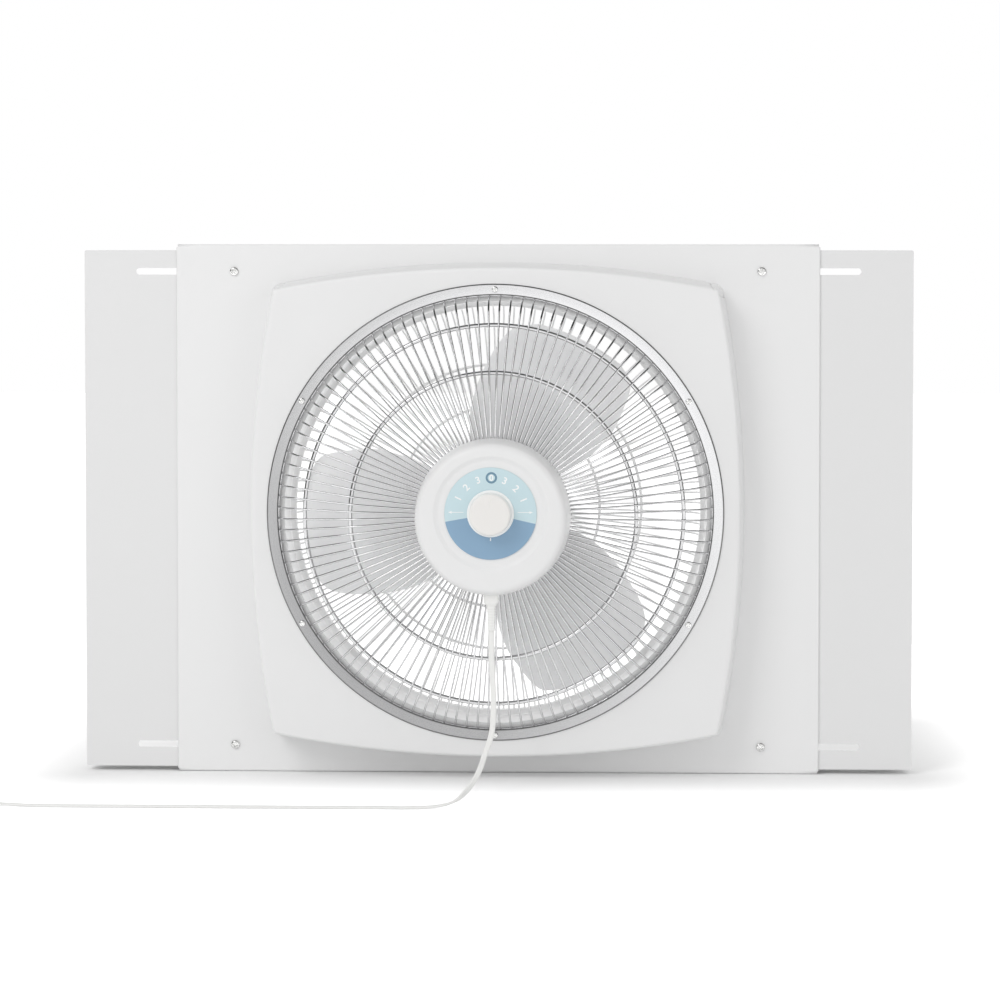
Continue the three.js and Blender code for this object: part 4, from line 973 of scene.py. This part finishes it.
def flat_mark(name, outline, y, finish, thickness=0.12 * MM, middle=None):
    """Raised mark on the dial: a closed outline of [x, z] about the dial's axis, drawn in towards its middle in
    front and carried back by the thickness."""
    outline = np.asarray(outline, float)
    middle = np.broadcast_to(outline.mean(axis=0) if middle is None else middle, outline.shape)
    rows = [middle, outline, outline, middle]
    depths = [y, y, y + thickness, y + thickness]
    rings = np.array([np.stack([row[:, 0], np.full(len(row), d), AXIS_Z + DIAL_LIFT + row[:, 1]], axis=1)
                      for row, d in zip(rows, depths)])
    return piece(name, [(rings, False, True)], finish, slot="dial_face", sharp=30)


class WINDOWFAN_OT_dial(bpy.types.Operator):
    """Dial plate in two blues, its numerals, the ring round the zero, the tick and two arrows"""

    bl_idname = "window_fan.dial"
    bl_label = "Dial"

    def execute(self, context):
        sizes = context.scene.fan_sizes
        piece("dial_disc", [disc(DIAL_RADIUS, DIAL_BACK, DIAL_FACE + 0.1 * MM, DIAL_LIFT)],
              slot="dial_face", stands_for=("dial_plate",), sharp=38)
        ink = DIAL_FACE + 0.04 * MM
        roll, numeral_radius = math.radians(1.3), 36.4 * MM
        for text, step in zip("1230321", range(-3, 4)):
            turn = roll + math.radians(22 * step)
            make_text(f"dial_numeral_{step + 4}", text, sizes.numeral * (0.86 if text == "0" else 1), turn,
                      numeral_radius, ink, FINISHES["ink"])
        self.add_zero_ring(roll, numeral_radius)
        tick = rounded_rectangle(0.55 * MM, 1.5 * MM, 0.3 * MM) - [0, 26.2 * MM]
        flat_mark("dial_tick", tick, ink, FINISHES["ink"])
        for name, side in (("left", -1), ("right", 1)):
            self.add_arrow(name, side, ink)
        return {"FINISHED"}

    def add_zero_ring(self, roll, radius):
        """Flat ring round the zero: a thin closed profile carried round the numeral's middle."""
        around = angles(64)
        x, z = radius * math.sin(roll), radius * math.cos(roll)
        rows = [(3.7, 0.02), (5.8, 0.02), (5.8, 0.1), (3.7, 0.1)]
        rings = np.array([np.stack([
            x + r * MM * np.cos(around), np.full(64, DIAL_FACE + d * MM),
            AXIS_Z + DIAL_LIFT + z + r * MM * np.sin(around)], axis=1) for r, d in rows])
        piece("dial_zero_ring", [(rings, True, True)], FINISHES["mark"], slot="dial_face", sharp=30)

    def add_arrow(self, name, side, ink):
        """Slim arrow beside the knob that points outwards: a bar whose far end widens to a head."""
        near, neck, tip = 27.5 * MM, 39.5 * MM, 43 * MM
        thin, wide, height = 0.3 * MM, 1.3 * MM, 1.3 * MM
        outline = [(near, -thin), (neck, -thin), (neck, -wide), (tip, 0),
                   (neck, wide), (neck, thin), (near, thin)]
        middle = np.array([(neck + tip) / 2 * side, height])
        outline = np.array(outline) * [side, 1] + [0, height]
        flat_mark(f"dial_arrow_{name}", outline, ink, FINISHES["ink"], middle=middle)


class WINDOWFAN_OT_knob(bpy.types.Operator):
    """Round knob with a skirt and a groove that points to the setting"""

    bl_idname = "window_fan.knob"
    bl_label = "Knob"

    def execute(self, context):
        grip, skirt = KNOB_SKIRT_RADIUS - 2.3 * MM, KNOB_BACK - 1.4 * MM
        ring = eased([(4 * MM, KNOB_BACK), (KNOB_SKIRT_RADIUS, KNOB_BACK), (KNOB_SKIRT_RADIUS, skirt),
                      (grip, skirt), (4 * MM, skirt)], [0, 0.2 * MM, 0.6 * MM, 0, 0], closed=True)
        piece("knob_skirt", [(revolve(np.insert(ring, 2, DIAL_LIFT, axis=1), 160), True, True)],
              FINISHES["skirt"], body="dial_knob", slot="white_moulding", sharp=45)
        corners = [
            (4 * MM, skirt), (grip - 0.3 * MM, skirt), (grip, skirt - 0.6 * MM), (grip - 0.7 * MM, KNOB_FACE),
            (0, KNOB_FACE)]
        easings = [0, 0.2 * MM, 0.3 * MM, 2.6 * MM, 0]
        profile = eased(corners, easings, steps=9)
        top = profile[-2, 0]
        rows = np.linspace(top, 0, 40)[1:]
        profile = np.vstack([profile[:-1], np.stack([rows, np.full(39, KNOB_FACE)], axis=1)])
        profile = np.vstack([[0, skirt], profile])
        points = revolve(np.insert(profile, 2, DIAL_LIFT, axis=1), 240)
        x, z = points[..., 0], points[..., 2] - AXIS_Z - DIAL_LIFT
        across = np.clip(1 - (np.abs(x) / (0.9 * MM)) ** 2, 0, 1)
        along = eased_step(z, 7.5 * MM, 9 * MM) * eased_step(z, 18.2 * MM, 17 * MM)
        on_face = points[..., 1] < KNOB_FACE + 0.6 * MM
        points[..., 1] += 0.5 * MM * across * along * on_face
        piece("knob_cap", [(points, False, True)], FINISHES["knob"], body="dial_knob", slot="white_moulding",
              stands_for=("knob",), sharp=45)
        return {"FINISHED"}


# ---------------------------------------------------------------- blade

# Edges of one blade as (share of the way from root to tip, clockwise angle in degrees), seen from the front.
BLADE_ROOT, BLADE_TIP = 46 * MM, 203 * MM
LEADING_EDGE = [(0, -21), (0.23, -18), (0.38, -14.4), (0.57, -8),
                (0.73, -2.5), (0.89, 3), (0.955, 6.5), (1, 13)]
TRAILING_EDGE = [(0, 62), (0.23, 61.5), (0.43, 60), (0.65, 56),
                 (0.8, 51.5), (0.92, 48), (0.97, 45.5), (1, 40)]
BLADE_FRONT, BLADE_REAR = -51, -5                       # depths of the two edges at the root, in millimetres
BLADE_EASE, BLADE_CAMBER = 7, 6                         # how far each comes in at the tip, and the camber
BLADE_HUB = 50 * MM


def blade_edge(shares, count):
    """An edge of the blade as radius and angle at equal steps of the smooth curve through its points."""
    points = np.array(shares, float)
    points[:, 0] = (BLADE_ROOT + (BLADE_TIP - BLADE_ROOT) * points[:, 0]) / MM
    curve = smooth_path(points, 0.5)
    picks = np.linspace(0, len(curve) - 1, count)
    return np.stack([np.interp(picks, np.arange(len(curve)), column) for column in curve.T], axis=1)


def blade_skin(rows, columns):
    """Middle surface of a blade: radius and angle go straight from the leading to the trailing edge, and the
    depth falls from front to rear less a sine of camber, both easing together towards the tip."""
    lead, trail = blade_edge(LEADING_EDGE, rows), blade_edge(TRAILING_EDGE, rows)
    across = np.linspace(0, 1, columns)[None, :]
    out = np.linspace(0, 1, rows)[:, None]
    radius = lead[:, :1] + (trail[:, :1] - lead[:, :1]) * across
    angle = np.radians(lead[:, 1:] + (trail[:, 1:] - lead[:, 1:]) * across)
    front, rear = BLADE_FRONT + BLADE_EASE * out, BLADE_REAR - BLADE_EASE * out
    y = front + (rear - front) * across - BLADE_CAMBER * np.sin(HALF_TURN * across)
    return radius * MM, angle, depth(y)


class WINDOWFAN_OT_blade(bpy.types.Operator):
    """Three blades and their hub, as one moulding"""

    bl_idname = "window_fan.blade"
    bl_label = "Blade"

    def execute(self, context):
        thickness = context.scene.fan_sizes.blade_thickness
        rows, columns = 48, 40
        radius, angle, y = blade_skin(rows, columns)
        u, v = np.linspace(-1, 1, columns)[None, :], np.linspace(0, 1, rows)[:, None]
        half = 0.5 * thickness * (1 - u ** 8) ** 0.5 * (1 - v ** 24) ** 0.5
        grids = []
        for start in angles(3):
            front = radial(radius, angle + start, y - half)
            rear = radial(radius, angle + start, y + half)
            skin = np.concatenate([front, rear[:, ::-1]], axis=1)
            root = np.broadcast_to(skin[0].mean(axis=0), skin[0].shape)[None]
            grids.append((np.concatenate([root, skin]), False, True))
        nose, tail, inside = depth(-50), depth(-8), BLADE_HUB - 2.5 * MM
        hub = eased([
            (4.6 * MM, nose), (BLADE_HUB, nose), (BLADE_HUB, tail), (inside, tail), (inside, nose + 3 * MM),
            (11 * MM, nose + 3 * MM), (11 * MM, depth(-10)), (4.6 * MM, depth(-10))],
            [0, 4 * MM, 0.6 * MM, 0.6 * MM, 2 * MM, 2 * MM, 0.6 * MM, 0], closed=True)
        grids.append((revolve(hub, 96), True, True))
        piece("blade_moulding", grids, body="blade", slot="blade_plastic",
              stands_for=("fan_blade",), sharp=50)
        return {"FINISHED"}


# ---------------------------------------------------------------- panels and screws

def panel_outline(half_width, bottom, top, corner, per_side=24):
    """Closed outline in X and Z, anticlockwise from the right, with its straight sides divided evenly."""
    x, z = half_width - corner, (bottom + corner, top - corner)
    quarter = np.linspace(0, HALF_TURN / 2, 6)
    centres = [(x, z[1]), (-x, z[1]), (-x, z[0]), (x, z[0])]
    points = []
    for k, centre in enumerate(centres):
        turn = quarter + k * HALF_TURN / 2
        arc = np.stack([centre[0] + corner * np.cos(turn), centre[1] + corner * np.sin(turn)], axis=1)
        following = np.array(centres[(k + 1) % 4]) + corner * np.array(
            [math.cos((k + 1) * HALF_TURN / 2), math.sin((k + 1) * HALF_TURN / 2)])
        side = arc[-1] + (following - arc[-1]) * np.linspace(0, 1, per_side + 1)[1:-1, None]
        points += [arc, side]
    return np.vstack(points)


def bent_edge(x, z, level, bend, reach, front):
    """Grid of a bend and its flange: across x the sheet turns a quarter circle back from the face at the height
    z and runs on to the reach."""
    turn = np.linspace(0, HALF_TURN / 2, 8)
    y = front + bend * (1 - np.cos(turn))
    height = z + level * bend * np.sin(turn)
    y, height = np.append(y, reach), np.append(height, height[-1])
    return np.stack(np.broadcast_arrays(x[None, :], y[:, None], height[:, None]), axis=-1)


class WINDOWFAN_OT_panels(bpy.types.Operator):
    """Centre panel with its round hole and its two bent flanges"""

    bl_idname = "window_fan.panels"
    bl_label = "Centre panel"

    def execute(self, context):
        sizes = context.scene.fan_sizes
        corner, far = low("centre_panel"), high("centre_panel")
        half_width, bottom, top = far[0], corner[2], far[2]
        bend, panel_corner, hole = sizes.bend, 1.4 * MM, 225.5 * MM
        outline = panel_outline(half_width, bottom + bend, top - bend, panel_corner)
        angle = np.arctan2(outline[:, 0], outline[:, 1] - AXIS_Z)
        inner = np.stack([hole * np.sin(angle), AXIS_Z + hole * np.cos(angle)], axis=1)
        share = np.array([0, 0.004, 0.5, 0.99, 1])[:, None, None]
        flat = inner + (outline - inner) * share
        face = np.stack([flat[..., 0], np.full(flat.shape[:2], PANEL_FRONT), flat[..., 1]], axis=-1)
        grids = [(face, False, True)]
        for level, z in ((1, top - bend), (-1, bottom + bend)):
            edge_x = outline[np.abs(outline[:, 1] - z) < 1e-9, 0]
            grids.append((bent_edge(edge_x, z, level, bend, far[1], PANEL_FRONT), False, False))
        thing = piece("centre_panel_sheet", grids, slot="painted_sheet",
                      stands_for=("centre_panel",), sharp=40, facing=(0, -1, 0))
        wall = thing.modifiers.new("sheet", "SOLIDIFY")
        wall.thickness, wall.offset, wall.use_even_offset = sizes.sheet, -1, True
        return {"FINISHED"}


def screw_head(radius, height, recess):
    """Domed head with a cross recess: the height over the plane falls from the middle as a circle's arc and
    drops at the rim, less a smooth pit where x or z is near zero within the recess. Points [x, y, z], y out."""
    share = np.concatenate([np.linspace(0, 0.86, 26), np.linspace(0.89, 1, 6), [1.0]])[:, None]
    around = angles(96)[None, :]
    x, z = radius * share * np.cos(around), radius * share * np.sin(around)
    dome = height * (1 - 0.28 * share ** 2) * np.sqrt(np.clip(1 - share ** 10, 0, 1))
    half, arm = 0.13 * radius, 0.62 * radius
    slots = [eased_step(np.abs(across), half + 0.25 * MM, half)
             * eased_step(np.abs(along), arm + 0.2 * MM, arm - 0.3 * MM) for across, along in ((x, z), (z, x))]
    pit = np.maximum(*slots) * recess
    out = dome - pit
    out[-1] = 0
    return np.stack([x, -out, z], axis=-1)


class WINDOWFAN_OT_screws(bpy.types.Operator):
    """Four clamping screws and six rim screws, with domed heads and cross recesses"""

    bl_idname = "window_fan.screws"
    bl_label = "Screws"

    def execute(self, context):
        clamps = [f"clamp_screw_{level}_{side}" for level in ("top", "bottom") for side in ("left", "right")]
        rims = [f"rim_screw_{number}" for number in range(1, 7)]
        for number, node in enumerate([*clamps, *rims]):
            self.add_screw(node, number)
        return {"FINISHED"}

    def add_screw(self, node, number):
        """Head and shank of one screw, turned a little further than the last."""
        corner, far = low(node), high(node)
        centre, radius = (corner + far) / 2, (far[0] - corner[0]) / 2
        large = radius > 4 * MM
        height, shank = (2.4 * MM, 2.5 * MM) if large else (1.8 * MM, 1.5 * MM)
        seat = corner[1] + height
        head = screw_head(radius, height, 0.75 * height)
        turn = 0.7 + 1.1 * number
        x = head[..., 0] * math.cos(turn) - head[..., 2] * math.sin(turn)
        z = head[..., 0] * math.sin(turn) + head[..., 2] * math.cos(turn)
        head = np.stack([centre[0] + x, seat + head[..., 1], centre[2] + z], axis=-1)
        around = angles(96)
        below = [(shank, seat), (shank, far[1] - 0.6 * MM), (shank - 0.5 * MM, far[1]), (0, far[1])]
        stem = np.array([np.stack([centre[0] + r * np.cos(around + turn), np.full(96, y),
                                   centre[2] + r * np.sin(around + turn)], axis=1) for r, y in below])
        piece(f"{node}_fine", [(np.concatenate([head, stem]), False, True)], slot="zinc_screw",
              stands_for=(node,), sharp=50)


# ---------------------------------------------------------------- stage

CAMERA_PLACE = (0.1335, -2.6259, 0.4943)
CAMERA_YAW, CAMERA_PITCH, CAMERA_ROLL = -1.466, -1.619, -0.05     # degrees, left and down negative
CAMERA_SHIFT = (-0.06, -0.12)
FLOOR_MIDDLE = 0.14                                     # depth of the middle of the floor's darkest rectangle
FLOOR_HALF = (0.43, 0.16, 1.0)
FLOOR_FADE = 0.2                                        # distance from it over which the floor fades to white
FLOOR_REACH, FLOOR_SINK = 12.0, 0.2 * MM                # half its side, and how far it lies below the object
LAMPS = {                                               # place, target and side of each square lamp
    "key": ((-1.7, -2.3, 2.4), (0, -0.05, 0.28), 1.6),
    "fill": ((2.2, -2.4, 0.9), (0, -0.05, 0.28), 1.8),
    "back": ((0, 0.95, 0.42), (0, 0, AXIS_Z), 1.2),
}


def add_camera(looks):
    """Camera in front of the fan, a little to its right and above its middle."""
    data = bpy.data.cameras.new("camera")
    data.sensor_width, data.lens = 36, looks.lens
    data.shift_x, data.shift_y = CAMERA_SHIFT
    data.clip_start, data.clip_end = 0.05, 60
    camera = bpy.data.objects.new("camera", data)
    bpy.context.scene.collection.objects.link(camera)
    camera.location = CAMERA_PLACE
    camera.rotation_euler = (
        HALF_TURN / 2 + math.radians(CAMERA_PITCH), math.radians(CAMERA_ROLL), -math.radians(CAMERA_YAW))
    bpy.context.scene.camera = camera


def add_lamp(name, place, target, size, watts):
    """Square soft lamp that faces a target."""
    data = bpy.data.lights.new(name, "AREA")
    data.shape, data.size, data.energy = "SQUARE", size, watts
    lamp = bpy.data.objects.new(name, data)
    lamp.location = place
    lamp.rotation_euler = (Vector(target) - Vector(place)).to_track_quat("-Z", "Y").to_euler()
    bpy.context.scene.collection.objects.link(lamp)


def seen_directly(nodes):
    """Output that is 1 for rays from the camera and for mirrored and transmitted ones."""
    path = nodes.add("LightPath")
    total = path.outputs["Is Camera Ray"]
    for output in ("Is Glossy Ray", "Is Transmission Ray"):
        total = nodes.math("MAXIMUM", total, path.outputs[output])
    return total


def set_surroundings(looks):
    """White where it is seen and a softer grey where it only lights the object. Mirrored rays find it white in
    front and behind and dark at the sides, like a studio with flags, so that bright wires get dark edges."""
    world = bpy.data.worlds.new("surroundings")
    bpy.context.scene.world = world
    world.use_nodes = True
    nodes = Nodes(world.node_tree)
    background = nodes.tree.nodes["Background"]
    heading = nodes.add("SeparateXYZ", {"Vector": nodes.add("TexCoord").outputs["Generated"]}).outputs["Y"]
    mirrored = nodes.add("MapRange", {
        "Value": nodes.math("ABSOLUTE", heading), "From Min": 0.6, "From Max": 0.98, "To Min": looks.flags,
    }, interpolation_type="SMOOTHSTEP").outputs["Result"]
    path = nodes.add("LightPath").outputs
    lit = nodes.add("Mix", {"Factor": path["Is Glossy Ray"], "A": looks.sky, "B": mirrored}).outputs["Result"]
    direct = nodes.math("MAXIMUM", path["Is Camera Ray"], path["Is Transmission Ray"])
    strength = nodes.add("Mix", {"Factor": direct, "A": lit, "B": 1.0}).outputs["Result"]
    nodes.set(background, {"Color": (1, 1, 1, 1), "Strength": strength})


def floor_material(value):
    """Floor that takes the object's shadow. Where it is seen it glows a little near the object and more away
    from it, over the distance from a rectangle about the panels, so that it fades into white."""
    finish = Finish("floor", Roughness=0.9, Specular_IOR_Level=0.1)
    grain = finish.noise(220, detail=2)
    place = finish.add("VectorMath", {0: finish.place(centre=(0, FLOOR_MIDDLE, 0))}, operation="ABSOLUTE")
    beyond = finish.add("VectorMath", {0: place.outputs[0], 1: FLOOR_HALF}, operation="SUBTRACT")
    outside = finish.add("VectorMath", {0: beyond.outputs[0], 1: (0, 0, 0)}, operation="MAXIMUM")
    away = finish.add("VectorMath", {0: outside.outputs[0]}, operation="LENGTH").outputs["Value"]
    glow = finish.add("MapRange", {"Value": away, "From Max": FLOOR_FADE, "To Min": 0.0, "To Max": 0.6},
                      interpolation_type="SMOOTHSTEP").outputs["Result"]
    return finish.use(Base_Color=finish.shade(value, 0.004, grain), Emission_Color=(1, 1, 1, 1),
                      Emission_Strength=finish.math("MULTIPLY", glow, seen_directly(finish)))


class WINDOWFAN_OT_stage(bpy.types.Operator):
    """Camera, floor, lamps and surroundings"""

    bl_idname = "window_fan.stage"
    bl_label = "Stage"

    def execute(self, context):
        looks = context.scene.stage_looks
        add_camera(looks)
        set_surroundings(looks)
        for name, (place, target, size) in LAMPS.items():
            add_lamp(f"{name}_lamp", place, target, size, getattr(looks, name))
        side = np.array([-FLOOR_REACH, FLOOR_REACH])
        points = np.stack(np.broadcast_arrays(side[None, :], side[:, None], -FLOOR_SINK), axis=-1)
        mesh = bpy.data.meshes.new("floor")
        mesh.from_pydata(points.reshape(-1, 3), [], grid_faces(2, 2, False, False, 0).tolist())
        floor = bpy.data.objects.new("floor", mesh)
        context.scene.collection.objects.link(floor)
        mesh.materials.append(floor_material(tuple(looks.floor)))
        floor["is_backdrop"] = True
        context.scene.view_settings.view_transform = "Standard"
        return {"FINISHED"}


# ---------------------------------------------------------------- add-on

STEPS = (
    WINDOWFAN_OT_stage, WINDOWFAN_OT_finishes, WINDOWFAN_OT_cord, WINDOWFAN_OT_panels, WINDOWFAN_OT_housing,
    WINDOWFAN_OT_front_guard, WINDOWFAN_OT_rear_guard, WINDOWFAN_OT_hub, WINDOWFAN_OT_dial, WINDOWFAN_OT_knob,
    WINDOWFAN_OT_blade, WINDOWFAN_OT_screws,
)


class WINDOWFAN_PT_steps(bpy.types.Panel):
    """Lists the fan's pieces and the stage"""

    bl_idname = "WINDOWFAN_PT_steps"
    bl_label = "Window Fan"
    bl_space_type = "VIEW_3D"
    bl_region_type = "UI"
    bl_category = "Window Fan"

    def draw(self, context):
        for step in STEPS:
            self.layout.operator(step.bl_idname)


GROUPS = {"fan_sizes": FanSizes, "cord_sizes": CordSizes, "fan_colours": FanColours, "stage_looks": StageLooks}


def register():
    for item in (*GROUPS.values(), *STEPS, WINDOWFAN_PT_steps):
        bpy.utils.register_class(item)
    for name, group in GROUPS.items():
        setattr(bpy.types.Scene, name, PointerProperty(type=group))


def unregister():
    for name in GROUPS:
        delattr(bpy.types.Scene, name)
    for item in (WINDOWFAN_PT_steps, *reversed(STEPS), *GROUPS.values()):
        bpy.utils.unregister_class(item)


def corners():
    """Lowest and highest corner of what is shown, as plain lists."""
    return [[float(value) for value in corner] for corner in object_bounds()]


def main():
    """Registers the add-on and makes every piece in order."""
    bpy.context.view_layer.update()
    register()
    for step in STEPS:
        group, name = step.bl_idname.split(".")
        getattr(getattr(bpy.ops, group), name)()


if __name__ == "__main__":
    main()
